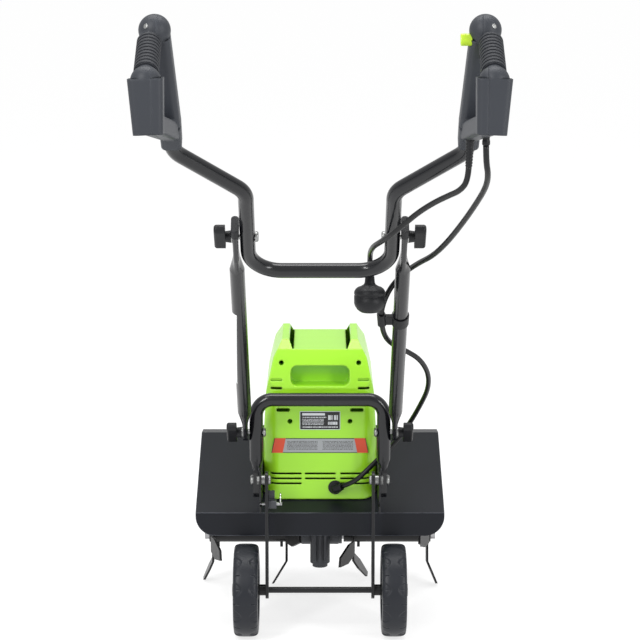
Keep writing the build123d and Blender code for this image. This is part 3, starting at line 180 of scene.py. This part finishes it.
motor_cable_top = route([
    (0.2148, -0.598, 0.858),
    (0.2152, -0.5975, 0.837),
    (0.2195, -0.584, 0.8175),
    (0.219, -0.552, 0.797),
    (0.209, -0.506, 0.768),
    (0.196, -0.462, 0.738),
    (0.178, -0.408, 0.702),
    (0.161, -0.350, 0.673),
    (0.142, -0.295, 0.653),
    (0.122, -0.255, 0.631),
    (0.105, -0.243, 0.609),
    (0.095, -0.237, 0.587),
    (0.091, -0.226, 0.566),
    (0.092, -0.219, 0.5555),
])
motor_cable_low = route([
    (0.092, -0.219, 0.5555),
    (0.093, -0.212, 0.545),
    (0.096, -0.190, 0.529),
    (0.103, -0.162, 0.512),
    (0.116, -0.134, 0.497),
    (0.134, -0.114, 0.485),
    (0.156, -0.094, 0.468),
    (0.171, -0.066, 0.440),
    (0.173, -0.032, 0.407),
    (0.163, 0.004, 0.373),
    (0.149, 0.034, 0.338),
    (0.132, 0.040, 0.311),
    (0.113, 0.030, 0.291),
    (0.094, 0.020, 0.276),
    (0.075, 0.011, 0.259),
    (0.0554, 0.0123, 0.2398),
    (0.0362, 0.0231, 0.2302),
])
strain_end = (0.197, handle_y - 0.5380, 0.824)
pigtail_route = [strain_end, (0.1965, strain_end[1] + 0.0037, 0.8044)] + route([
    (0.187, -0.522, 0.789),
    (0.173, -0.497, 0.779),
    (0.154, -0.468, 0.765),
    (0.134, -0.439, 0.747),
    (0.115, -0.419, 0.727),
    (0.099, -0.403, 0.711),
    (0.086, -0.380, 0.698),
    (0.077, -0.348, 0.687),
    (0.074, -0.314, 0.676),
    (0.073, -0.288, 0.667),
    (0.073, -0.2725, 0.653),
    (0.073, -0.268, 0.635),
])


# %% Cord pieces
def cord_tube(name, points):
    """A tube mesh round a spline of order 3 whose control points are the route, and the spline's own
    points."""
    curve = bpy.data.curves.new(name, "CURVE")
    curve.dimensions = "3D"
    spline = curve.splines.new("NURBS")
    spline.points.add(len(points) - 1)
    spline.points.foreach_set("co", np.c_[np.array(points), np.ones(len(points))].ravel())
    spline.order_u = 3
    spline.use_endpoint_u = True
    spline.resolution_u = 8
    line = bpy.data.objects.new(name + "_line", curve)
    bpy.context.scene.collection.objects.link(line)
    bpy.context.view_layer.update()
    path_mesh = bpy.data.meshes.new_from_object(line.evaluated_get(bpy.context.evaluated_depsgraph_get()))
    path = np.zeros(len(path_mesh.vertices) * 3, np.float32)
    path_mesh.vertices.foreach_get("co", path)
    path = path.reshape(-1, 3).astype(float)
    bpy.data.objects.remove(line)
    tangent = np.gradient(path, axis=0)
    tangent /= np.linalg.norm(tangent, axis=1, keepdims=True)
    side = np.cross(tangent, np.array([0.85, 0.1, 0.5]))
    side /= np.linalg.norm(side, axis=1, keepdims=True)
    up = np.cross(tangent, side)
    angle = np.linspace(0, 2 * np.pi, 20, endpoint=False)
    ring = np.cos(angle)[None, :, None] * side[:, None] + np.sin(angle)[None, :, None] * up[:, None]
    skin = capped(path[:, None] + cable_dia / 2 * ring)
    piece = outward(mesh_piece(name, skin, grid_faces(len(skin), len(angle), False)))
    length = float(np.linalg.norm(np.diff(path, axis=0), axis=1).sum())
    print(name, "length", round(length, 4), "points", len(path))
    return piece, path, length


cable_upper, upper_path, upper_length = cord_tube("motor_cable_upper_sheath", motor_cable_top)
cable_lower, lower_path, lower_length = cord_tube("motor_cable_lower_sheath", motor_cable_low)
pigtail, pigtail_path, pigtail_length = cord_tube("pigtail_sheath", pigtail_route)

# %% [markdown]
# The strain relief is a ribbed cone round the pigtail where it leaves the grip.

# %% Strain relief and plug
relief_way = np.array(strain_end) - np.array((0.198, handle_y - 0.546, 0.866))
relief_length = float(np.linalg.norm(relief_way))
relief_along = np.linspace(-0.006, relief_length, 89)
relief_radius = 0.0060 - 0.0013 * np.clip(relief_along / relief_length, 0, 1)
relief_slot = (np.sin(relief_along / 0.0044 * 2 * np.pi) > 0.35) * (relief_along > 0.004)
relief_radius = relief_radius - 0.0006 * relief_slot
strain_relief = turned("strain_relief", (0.198, handle_y - 0.546, 0.866), relief_way, relief_along,
                       relief_radius)
bushing_along = [0.0005, 0.0015, 0.006, 0.007, 0.010, 0.011, 0.0185]
bushing_radius = [0.0046, 0.0052, 0.0052, 0.0047, 0.0047, 0.0052, 0.0052]
cable_exit = motor_cable_top[0]
bushing = turned("motor_cable_bushing", cable_exit, (0, 0, 1), bushing_along, bushing_radius)

plug_at = (0.073, handle_y - 0.268, 0.634)
plug_along = np.array([0, 1, 14, 17, 19.5, 21.5, 24, 27, 28, 31, 31.2, 33.2, 33.4, 45, 49, 54, 57, 58]) / 1000
plug_radius = np.array([4.6, 6.3, 7.6, 9, 13, 18, 21, 22.6, 23, 23, 22.2, 22.2, 23, 23, 21.6, 18.4, 14.5,
                        12.8])
plug_radius = plug_radius / 1000
plug_shell = turned("plug_shell", plug_at, (0, 0, -1), plug_along, plug_radius, sides=64)
print("relief length mm", round(relief_length * 1000), "plug rings", len(plug_along))

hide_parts("motor_cable_upper")
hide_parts("motor_cable_lower")
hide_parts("pigtail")
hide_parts("plug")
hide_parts("handle_cable_reliefs")
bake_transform(cable_upper)
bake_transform(cable_lower)
for piece in (pigtail, strain_relief, bushing, plug_shell):
    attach(piece, "upper_handle")

# %% [markdown]
# ## Tyres
# A tyre is a closed section turned about the axle. Its outside is nearly flat with rounded shoulders, and
# a shallow moulded pattern is taken off its radius: a slot at each shoulder, and waisted pads between
# them.

# %% Tyre pieces
axle_y, axle_z = 0.15342, 0.075
tyre_half = 0.0199
pads = 10
hollow_depth = 0.0016
slot_depth = 0.0022


def tread_depth(angle, across):
    """How deep the pattern is, in metres, at an angle round the wheel and a place across it (-1 to 1). Ten
    pads go round. On each, a waisted hollow 1.6 mm deep spans |across| from 0.30 + 0.45 * (1 - w)**2
    outwards, with w 1 at the hollow's middle and 0 at its ends. Two slots 2.2 mm deep a pad cut in from the
    shoulders."""
    pitch = 2 * np.pi / pads
    phase = (angle / pitch) % 1.0
    waist = np.clip(1 - np.abs(phase - 0.5) / 0.24, 0, 1)
    edge = 0.30 + 0.45 * (1 - waist) ** 2
    hollow = hollow_depth * np.clip((np.abs(across) - edge) / 0.07, 0, 1) * (waist > 0)
    half_pad = (angle / pitch * 2) % 1.0
    near = np.minimum(np.abs(half_pad - 0.02), np.abs(half_pad - 1.02))
    slot = slot_depth * (near < 0.030) * (np.abs(across) > 0.45)
    return np.maximum(hollow, slot)


def tyre(name, side):
    """point(a, s) = (x(s), axle_y + r cos a, axle_z + r sin a): s runs round the section, whose outside is
    a superellipse shoulder; r is the section's radius less the tread's depth, which fades below the
    shoulder."""
    shoulder = np.linspace(-np.pi / 2, np.pi / 2, 61)
    across = np.sign(np.sin(shoulder)) * np.abs(np.sin(shoulder)) ** 0.55
    rise = np.abs(np.cos(shoulder)) ** 0.30
    outer_radius = 0.0545 + (0.0748 - 0.0545) * rise
    inner = np.linspace(1, -1, 9)[1:-1]
    radius = np.concatenate([outer_radius, np.full(7, 0.0503), [0.0503]])
    place = np.concatenate([across, inner, [-1.0]])
    radius[0] = radius[60] = 0.0540
    angle = np.linspace(0, 2 * np.pi, 720, endpoint=False)
    grid_angle, grid_place = np.meshgrid(angle, place, indexing="ij")
    fade = np.clip((radius - 0.066) / 0.006, 0, 1)[None]
    turned_radius = radius[None] - fade * tread_depth(grid_angle, grid_place)
    points = np.stack([
        side * 0.119 + tyre_half * grid_place,
        axle_y + turned_radius * np.cos(grid_angle),
        axle_z + turned_radius * np.sin(grid_angle),
    ], -1)
    return outward(mesh_piece(name, points, grid_faces(len(angle), len(place), True)))


tyres = {name: tyre(name + "_tread", side) for name, side in (("left_tyre", -1), ("right_tyre", 1))}
for name, piece in tyres.items():
    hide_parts(name)
    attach(piece, name.replace("_tyre", "_wheel"))
print("tyres", {name: len(piece.data.polygons) for name, piece in tyres.items()})

# %% [markdown]
# ## Small mouldings
# Screws on the grips' noses, and the printed plates: a rating plate and a warning plate on the housing,
# and a blank white label on the left bar.

# %% Grip screws
grip_front = np.array([0.219, handle_y - 0.586, 0.997])
nose = grip_front + np.array([-0.006, 0.004, 0.008])
# each screw is the way out of the nose and the radius of its head
nose_screws = (((0.0095, -0.0165, 0.0058), 0.0034), ((0.001, -0.0195, -0.0035), 0.0026))
screw_pieces = []
for name, side in (("left", -1), ("right", 1)):
    for number, (shift, size) in enumerate(nose_screws):
        way = np.array(shift) / np.linalg.norm(shift)
        way = way * (side, 1, 1)
        centre = nose * (side, 1, 1) + way * 0.0208
        piece = turned(f"{name}_nose_screw_{number}", centre, way, [-0.004, 0.0001, 0.0007, 0.0009],
                       [size, size, size * 0.94, size * 0.55], sides=32)
        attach(piece, "upper_handle")
        screw_pieces.append(piece)
print("nose screws", len(screw_pieces))

# %% Printed plates
rear_face = handle_y + 0.033
rating = plate("rating_plate", (0.0, rear_face - 0.0001, 0.3385), (1, 0, 0), (0, 0, 1), (0.066, 0.031),
               0.0007)
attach(rating, "chassis")


def tapered_plate(name, centre, half_top, half_foot, height, thick):
    """A flat four-cornered plate, wider at its foot, facing behind the machine."""
    x, y, z = centre
    outline = np.array([(half_foot, -height / 2), (half_top, height / 2), (-half_top, height / 2),
                        (-half_foot, -height / 2)])
    share = np.linspace(0, 1, 8, endpoint=False)[:, None]
    rounded = np.concatenate([a + share * (b - a) for a, b in zip(outline, np.roll(outline, -1, axis=0))])
    levels = np.array([0.0, -thick])
    points = np.zeros((2, len(rounded), 3))
    points[..., 0] = x + rounded[:, 0]
    points[..., 1] = y + levels[:, None]
    points[..., 2] = z + rounded[:, 1]
    points = capped(points)
    return outward(mesh_piece(name, points, grid_faces(len(points), len(rounded), False), smooth=False))


warning = tapered_plate("warning_plate", (0.0, rear_face - 0.0001, 0.2965), 0.0745, 0.0795, 0.0245, 0.0007)
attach(warning, "chassis")


def bar_label(name, start, end):
    """A thin sheet wrapped on the outer side of the left bar. Its formula is point(s, a) = axis(s) + r *
    (sin a * behind - cos a * X), with s along the bar and a from -0.9 to an edge that opens from 0.70 to
    1.25. r is 11.35 mm outside and 10.8 mm inside, and both meet at 11.1 mm in the two end rows, which
    closes the sheet."""
    slope = math.radians(46.7)
    way = np.array([0.0, -math.cos(slope), math.sin(slope)])
    behind = np.array([0.0, -math.sin(slope), -math.cos(slope)])
    place = np.linspace(start, end, 24)
    place = np.concatenate([place[:1], place, place[-1:]])
    full = np.ones(len(place))
    full[[0, -1]] = 0.0
    edge = 0.70 + 0.55 * (place - start) / (end - start)
    share = np.linspace(0, 1, 20)
    share = np.concatenate([share, share[::-1]])
    angle = -0.9 + (edge[:, None] + 0.9) * share
    level = np.repeat([0.00025, -0.0003], 20)
    radius = 0.0111 + full[:, None] * level
    foot = np.array([-0.1202, handle_y, 0.327])
    points = (foot + place[:, None, None] * way + (radius * np.sin(angle))[..., None] * behind
              - (radius * np.cos(angle))[..., None] * np.array([1.0, 0.0, 0.0]))
    return outward(mesh_piece(name, points, grid_faces(len(place), 40, False)))


white_label = bar_label("bar_label", 0.150, 0.337)
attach(white_label, "middle_handle")
print("plates", rating.name, warning.name, white_label.name)

# %% [markdown]
# ## Materials
# One node group makes every finish vary: two noises change the colour and the roughness, and a mask finds
# the edges, where the rounded normal leaves the flat one, and lets a second colour through: the bare colour
# of worn edges on most finishes, and a painted highlight along the folds of the black sheet.

# %% Shared surface group
def srgb(*values):
    """A screen colour, each value 0 to 255, as the linear colour that a shader takes."""
    share = np.array(values, float) / 255
    linear = np.where(share <= 0.04045, share / 12.92, ((share + 0.055) / 1.055) ** 2.4)
    return (*linear.tolist(), 1.0)


def math_node(tree, operation, first, second=None, third=None, clamp=False):
    """A Math node whose inputs are sockets or numbers; returns its output."""
    node = tree.nodes.new("ShaderNodeMath")
    node.operation = operation
    node.use_clamp = clamp
    for place, value in enumerate((first, second, third)):
        if isinstance(value, (int, float)):
            node.inputs[place].default_value = value
        elif value is not None:
            tree.links.new(value, node.inputs[place])
    return node.outputs[0]


def noise_node(tree, vector, scale, detail=3.0):
    """A noise value on a vector."""
    node = tree.nodes.new("ShaderNodeTexNoise")
    node.inputs["Detail"].default_value = detail
    tree.links.new(vector, node.inputs["Vector"])
    if isinstance(scale, (int, float)):
        node.inputs["Scale"].default_value = scale
    else:
        tree.links.new(scale, node.inputs["Scale"])
    return node.outputs["Fac"]


def mix_colour(tree, share, first, second, mode="MIX"):
    """A colour mix; returns its output."""
    node = tree.nodes.new("ShaderNodeMix")
    node.data_type = "RGBA"
    node.blend_type = mode
    for place, value in ((0, share), (6, first), (7, second)):
        if isinstance(value, (int, float)):
            node.inputs[place].default_value = value
        elif isinstance(value, tuple):
            node.inputs[place].default_value = value
        else:
            tree.links.new(value, node.inputs[place])
    return node.outputs[2]


surface = bpy.data.node_groups.new("surface", "ShaderNodeTree")
for label, kind, value in (
    ("Base", "NodeSocketColor", (0.5, 0.5, 0.5, 1)),
    ("Worn and highlight", "NodeSocketColor", (0.5, 0.5, 0.5, 1)),
    ("Wear and highlight", "NodeSocketFloat", 0.3),
    ("Edge", "NodeSocketFloat", 0.0012),
    ("Variation", "NodeSocketFloat", 0.1),
    ("Size", "NodeSocketFloat", 14.0),
    ("Grain", "NodeSocketFloat", 900.0),
    ("Roughness", "NodeSocketFloat", 0.4),
    ("Roughness spread", "NodeSocketFloat", 0.1),
):
    socket = surface.interface.new_socket(name=label, in_out="INPUT", socket_type=kind)
    socket.default_value = value
for label, kind in (("Color", "NodeSocketColor"), ("Roughness", "NodeSocketFloat"), ("Height",
                                                                                     "NodeSocketFloat")):
    surface.interface.new_socket(name=label, in_out="OUTPUT", socket_type=kind)
inside = surface.nodes.new("NodeGroupInput").outputs
coordinates = surface.nodes.new("ShaderNodeTexCoord").outputs["Object"]
broad = noise_node(surface, coordinates, inside["Size"])
fine = noise_node(surface, coordinates, inside["Grain"], 2.0)
rounded = surface.nodes.new("ShaderNodeBevel")
rounded.samples = 4
surface.links.new(inside["Edge"], rounded.inputs["Radius"])
flat = surface.nodes.new("ShaderNodeNewGeometry").outputs["Normal"]
agree = surface.nodes.new("ShaderNodeVectorMath")
agree.operation = "DOT_PRODUCT"
surface.links.new(rounded.outputs["Normal"], agree.inputs[0])
surface.links.new(flat, agree.inputs[1])
bend = math_node(surface, "SUBTRACT", 1.0, agree.outputs["Value"])
edge = math_node(surface, "MULTIPLY", bend, 9.0, clamp=True)
patchy = math_node(surface, "MULTIPLY_ADD", broad, 2.2, -0.6, clamp=True)
# the edge mask: worn edges on most finishes, and a painted highlight on the black sheet's folds
mask = math_node(surface, "MULTIPLY", math_node(surface, "MULTIPLY", edge, patchy), inside["Wear and highlight"],
                 clamp=True)
shade = math_node(surface, "MULTIPLY", math_node(surface, "SUBTRACT", broad, 0.5), inside["Variation"])
light = math_node(surface, "ADD", 1.0, math_node(surface, "MULTIPLY", shade, 2.0))
tone = surface.nodes.new("ShaderNodeCombineColor")
for place in range(3):
    surface.links.new(light, tone.inputs[place])
varied = mix_colour(surface, 1.0, inside["Base"], tone.outputs[0], "MULTIPLY")
outside = surface.nodes.new("NodeGroupOutput").inputs
surface.links.new(mix_colour(surface, mask, varied, inside["Worn and highlight"]), outside["Color"])
spread = math_node(surface, "MULTIPLY", math_node(surface, "SUBTRACT", fine, 0.5), inside["Roughness spread"])
rough = math_node(surface, "ADD", inside["Roughness"], math_node(surface, "MULTIPLY", spread, 2.0))
surface.links.new(math_node(surface, "MAXIMUM", rough, 0.04), outside["Roughness"])
surface.links.new(fine, outside["Height"])
print("surface group nodes", len(surface.nodes))


# %% Finishes
def finish(name, base, worn_and_highlight, wear_and_highlight=0.25, rough=0.4, spread=0.06, variation=0.06, size=14.0, grain=900.0,
           bump=0.05,
           metallic=0.0, coat=0.0, edge=0.0012, specular=0.5):
    """A Principled material whose colour, roughness and bump come from the surface group."""
    material = bpy.data.materials.new(name)
    material.use_nodes = True
    tree = material.node_tree
    shader = tree.nodes["Principled BSDF"]
    group = tree.nodes.new("ShaderNodeGroup")
    group.node_tree = surface
    for label, value in (
        ("Base", base), ("Worn and highlight", worn_and_highlight), ("Wear and highlight", wear_and_highlight), ("Edge", edge), ("Variation", variation), ("Size",
                                                                                                   size),
        ("Grain", grain), ("Roughness", rough), ("Roughness spread", spread),
    ):
        group.inputs[label].default_value = value
    tree.links.new(group.outputs["Color"], shader.inputs["Base Color"])
    tree.links.new(group.outputs["Roughness"], shader.inputs["Roughness"])
    relief = tree.nodes.new("ShaderNodeBump")
    relief.inputs["Strength"].default_value = bump
    relief.inputs["Distance"].default_value = 0.0004
    soft = tree.nodes.new("ShaderNodeBevel")
    soft.samples = 6
    soft.inputs["Radius"].default_value = edge
    tree.links.new(soft.outputs["Normal"], relief.inputs["Normal"])
    tree.links.new(group.outputs["Height"], relief.inputs["Height"])
    tree.links.new(relief.outputs["Normal"], shader.inputs["Normal"])
    shader.inputs["Metallic"].default_value = metallic
    shader.inputs["Coat Weight"].default_value = coat
    shader.inputs["Coat Roughness"].default_value = 0.08
    shader.inputs["Specular IOR Level"].default_value = specular
    return material


finishes = {
    "green": finish("green housing", srgb(150, 214, 36), srgb(196, 240, 96), wear_and_highlight=0.35, rough=0.34, coat=0.25,
                    edge=0.0035, grain=1500.0, bump=0.03),
    "green_accent": finish("green button", srgb(178, 212, 40), srgb(214, 236, 110), rough=0.36, coat=0.2,
                           edge=0.0012),
    "black_tube": finish("black tube", srgb(15, 16, 20), srgb(96, 98, 104), wear_and_highlight=0.2, rough=0.24, coat=0.3,
                         edge=0.0015, grain=700.0, bump=0.05, specular=0.35),
    # here the second colour and its high share paint a highlight along the sheet's folds and edges
    "black_sheet": finish("black sheet", srgb(15, 18, 25), srgb(126, 130, 140), wear_and_highlight=0.9, rough=0.42,
                          coat=0.06,
                          edge=0.0022, bump=0.1, specular=0.22),
    "frame_black": finish("black frame", srgb(14, 15, 18), srgb(104, 105, 110), wear_and_highlight=0.35, rough=0.38,
                          coat=0.15,
                          specular=0.3),
    "tine_black": finish("black tine", srgb(12, 12, 14), srgb(140, 140, 142), wear_and_highlight=0.75, rough=0.36,
                         coat=0.12,
                         edge=0.0009, variation=0.2, specular=0.3),
    "grip_grey": finish("grip grey", srgb(48, 51, 57), srgb(92, 96, 104), wear_and_highlight=0.3, rough=0.5, edge=0.004,
                        grain=2600.0, bump=0.14, variation=0.05, specular=0.35),
    "black_plastic": finish("black plastic", srgb(19, 20, 23), srgb(66, 68, 74), wear_and_highlight=0.3, rough=0.46,
                            edge=0.0016,
                            grain=2200.0, bump=0.1, specular=0.3),
    "soft_rubber": finish("soft rubber", srgb(38, 40, 45), srgb(80, 83, 90), wear_and_highlight=0.3, rough=0.6, edge=0.0006,
                          grain=2600.0, bump=0.12, specular=0.3),
    "tyre_rubber": finish("tyre rubber", srgb(22, 25, 32), srgb(96, 101, 112), wear_and_highlight=0.8, rough=0.42,
                          spread=0.1,
                          edge=0.0011, bump=0.12, variation=0.14, size=26.0, specular=0.35),
    "zinc_steel": finish("zinc steel", srgb(150, 151, 150), srgb(206, 206, 204), rough=0.34, metallic=1.0,
                         variation=0.12, size=70.0, edge=0.0006),
    "bright_steel": finish("bright steel", srgb(214, 214, 212), srgb(240, 240, 240), rough=0.16, metallic=1.0,
                           edge=0.0003),
    "steel": finish("steel", srgb(172, 172, 174), srgb(214, 214, 214), rough=0.3, metallic=1.0, edge=0.0005,
                    variation=0.12, size=40.0),
    "gear_case_grey": finish("gear case grey", srgb(58, 60, 65), srgb(122, 124, 130), wear_and_highlight=0.45, rough=0.42,
                             metallic=0.2, edge=0.0018, bump=0.2, grain=1200.0, variation=0.16),
    "bronze": finish("bronze", srgb(168, 120, 62), srgb(214, 176, 110), rough=0.32, metallic=1.0,
                     edge=0.0004),
    "core_steel": finish("core steel", srgb(110, 110, 112), srgb(160, 160, 160), rough=0.4, metallic=1.0),
    "copper": finish("copper", srgb(190, 112, 70), srgb(226, 160, 120), rough=0.3, metallic=1.0),
    "label_white": finish("label white", srgb(238, 240, 240), srgb(250, 250, 250), wear_and_highlight=0.1, rough=0.42,
                          edge=0.0002,
                          variation=0.03),
    "cord_black": finish("cord sheath", srgb(16, 17, 19), srgb(44, 46, 50), wear_and_highlight=0.1, rough=0.36, edge=0.0003,
                         grain=2400.0, bump=0.06, variation=0.1, specular=0.35),
}
slot_of = {entry["node"]: entry["material_slot"] for entry in frame["record"]["subparts"]}
slot_of["axle_washers"] = "frame_black"  # black like the frame beside them
for name, node in nodes.items():
    if node.type == "MESH":
        node.data.materials.clear()
        node.data.materials.append(finishes[slot_of[name]])
print("finishes", len(finishes))


# %% [markdown]
# The plates are printed: bars stand for lines of small type, so nothing on them can be read.

# %% Printed finishes
def printed(name, ground, ink, centre, bands, border, half, ends=None, skew=0.0):
    """A printed plate on the plane y = constant. Each band is (low x, high x, low z, high z, dash pitch)
    from the centre; a place is inked where it lies in a band and, with a pitch, where the dash noise is
    high. The border is inked where |x| or |z| passes half - border; ends is (colour, |x| from which it
    starts)."""
    material = bpy.data.materials.new(name)
    material.use_nodes = True
    tree = material.node_tree
    shader = tree.nodes["Principled BSDF"]
    split = tree.nodes.new("ShaderNodeSeparateXYZ")
    tree.links.new(tree.nodes.new("ShaderNodeTexCoord").outputs["Object"], split.inputs[0])
    x = math_node(tree, "SUBTRACT", split.outputs["X"], centre[0])
    z = math_node(tree, "SUBTRACT", split.outputs["Z"], centre[1])
    x_out = math_node(tree, "ABSOLUTE", x)
    slanted = math_node(tree, "ADD", x_out, math_node(tree, "MULTIPLY", z, skew))
    total = math_node(tree, "MAXIMUM", math_node(tree, "GREATER_THAN", slanted, half[0] - border),
                      math_node(tree, "GREATER_THAN", math_node(tree, "ABSOLUTE", z), half[1] - border))
    for low_x, high_x, low_z, high_z, pitch in bands:
        held = math_node(tree, "MULTIPLY", math_node(tree, "GREATER_THAN", x, low_x),
                         math_node(tree, "LESS_THAN", x, high_x))
        held = math_node(tree, "MULTIPLY", held, math_node(tree, "GREATER_THAN", z, low_z))
        held = math_node(tree, "MULTIPLY", held, math_node(tree, "LESS_THAN", z, high_z))
        if pitch:
            wave = tree.nodes.new("ShaderNodeTexNoise")
            wave.noise_dimensions = "1D"
            wave.inputs["Scale"].default_value = 1.0 / pitch
            shifted = math_node(tree, "ADD", x, high_z * 37.0)
            tree.links.new(shifted, wave.inputs["W"])
            held = math_node(tree, "MULTIPLY", held, math_node(tree, "GREATER_THAN", wave.outputs["Fac"],
                                                               0.46))
        total = math_node(tree, "MAXIMUM", total, held)
    colour = mix_colour(tree, total, ground, ink)
    if ends:
        colour = mix_colour(tree, math_node(tree, "MULTIPLY", math_node(tree, "GREATER_THAN", slanted,
                                                                        ends[1]),
                                            math_node(tree, "LESS_THAN", slanted, half[0] - border)),
                                            colour, ends[0])
    mottle = noise_node(tree, tree.nodes["Texture Coordinate"].outputs["Object"], 60.0)
    shade_light = mix_colour(tree, math_node(tree, "MULTIPLY", mottle, 0.12), colour, (0.0, 0.0, 0.0, 1.0))
    tree.links.new(shade_light, shader.inputs["Base Color"])
    tree.links.new(math_node(tree, "MULTIPLY_ADD", mottle, 0.1, 0.3), shader.inputs["Roughness"])
    relief = tree.nodes.new("ShaderNodeBump")
    relief.inputs["Strength"].default_value = 0.05
    relief.inputs["Distance"].default_value = 0.0002
    tree.links.new(mottle, relief.inputs["Height"])
    tree.links.new(relief.outputs["Normal"], shader.inputs["Normal"])
    return material


white, dark = srgb(214, 218, 222), srgb(14, 15, 17)
rating_bands = [(-0.029, 0.008, 0.0085, 0.0125, 0), (-0.029, 0.010, 0.0045, 0.0062, 0.0012)]
rating_lines = (1.6, -0.6, -2.8, -5.0, -7.2)
rating_bands += [(-0.029, 0.006, low / 1000, low / 1000 + 0.0011, 0.0011) for low in rating_lines]
rating_bands += [(0.013, 0.021, 0.001, 0.009, 0.0009), (0.023, 0.029, 0.001, 0.009, 0.0013)]
rating_bands += [(-0.029, 0.029, -0.0118, -0.0100, 0.0012), (0.013, 0.029, -0.007, -0.002, 0.0010)]
rating.data.materials.append(printed("rating print", dark, white, (0.0, 0.3385), rating_bands, 0.0008,
                                     (0.033, 0.0155)))
warning_lines = (6.5, 4.3, 2.1, -0.1, -2.3, -4.5, -6.7)
warning_bands = [(-0.054, -0.004, low / 1000, low / 1000 + 0.0010, 0.0011) for low in warning_lines]
warning_bands += [(0.004, 0.054, low / 1000, low / 1000 + 0.0010, 0.0012) for low in warning_lines]
warning.data.materials.append(printed("warning print", srgb(150, 154, 156), dark, (0.0, 0.2965),
                                      warning_bands, 0.0010,
                                      (0.0770, 0.01225), ends=(srgb(206, 70, 34), 0.0585), skew=0.204))

# %% Other pieces' finishes
for piece, slot in (
    [(cable_upper, "cord_black"), (cable_lower, "cord_black"), (pigtail, "cord_black"), (plug_shell,
                                                                                         "black_plastic"),
     (strain_relief, "black_plastic"), (bushing, "black_plastic")]
    + [(piece, "tyre_rubber") for piece in tyres.values()]
    + [(piece, "zinc_steel") for piece in screw_pieces] + [(white_label, "label_white")]
):
    piece.data.materials.append(finishes[slot])

# %% [markdown]
# ## Stage
# A wide pale floor that glows a little, so that shadows stay light, an even bright world, and three softboxes
# that put long highlights on the tubes.

# %% Floor and light
reach = 150
floor_corners = [(-reach, -reach, 0), (reach, -reach, 0), (reach, reach, 0), (-reach, reach, 0)]
floor = mesh_piece("floor", floor_corners, [(0, 1, 2, 3)], False)
floor_material = bpy.data.materials.new("floor")
floor_material.use_nodes = True
floor_shader = floor_material.node_tree.nodes["Principled BSDF"]
floor_shader.inputs["Base Color"].default_value = (0.35, 0.35, 0.35, 1.0)
floor_shader.inputs["Emission Color"].default_value = (1.0, 1.0, 1.0, 1.0)
floor_shader.inputs["Emission Strength"].default_value = 0.74
floor_shader.inputs["Roughness"].default_value = 0.9
floor_shader.inputs["Specular IOR Level"].default_value = 0.0
floor.data.materials.append(floor_material)
world = bpy.data.worlds.new("world")
world.use_nodes = True
world.node_tree.nodes["Background"].inputs["Color"].default_value = (1.0, 1.0, 1.0, 1.0)
world.node_tree.nodes["Background"].inputs["Strength"].default_value = 0.72
bpy.context.scene.world = world


def softbox(name, location, target, size, power):
    """A rectangular area light at a place, turned to face a target."""
    data = bpy.data.lights.new(name, "AREA")
    data.shape = "RECTANGLE"
    data.size, data.size_y = size
    data.energy = power
    light_object = bpy.data.objects.new(name, data)
    bpy.context.scene.collection.objects.link(light_object)
    light_object.location = location
    light_object.rotation_euler = (Vector(target) - Vector(location)).to_track_quat("-Z", "Y").to_euler()
    return light_object


softbox("key", (-1.6, -2.4, 2.6), (0.0, 0.1, 0.5), (0.6, 1.8), 62.0)
softbox("fill", (2.2, -2.0, 1.6), (0.0, 0.1, 0.5), (0.4, 1.8), 34.0)
softbox("top", (0.0, 0.4, 3.0), (0.0, 0.2, 0.4), (2.4, 1.0), 44.0)
bpy.context.scene.view_settings.view_transform = "Standard"
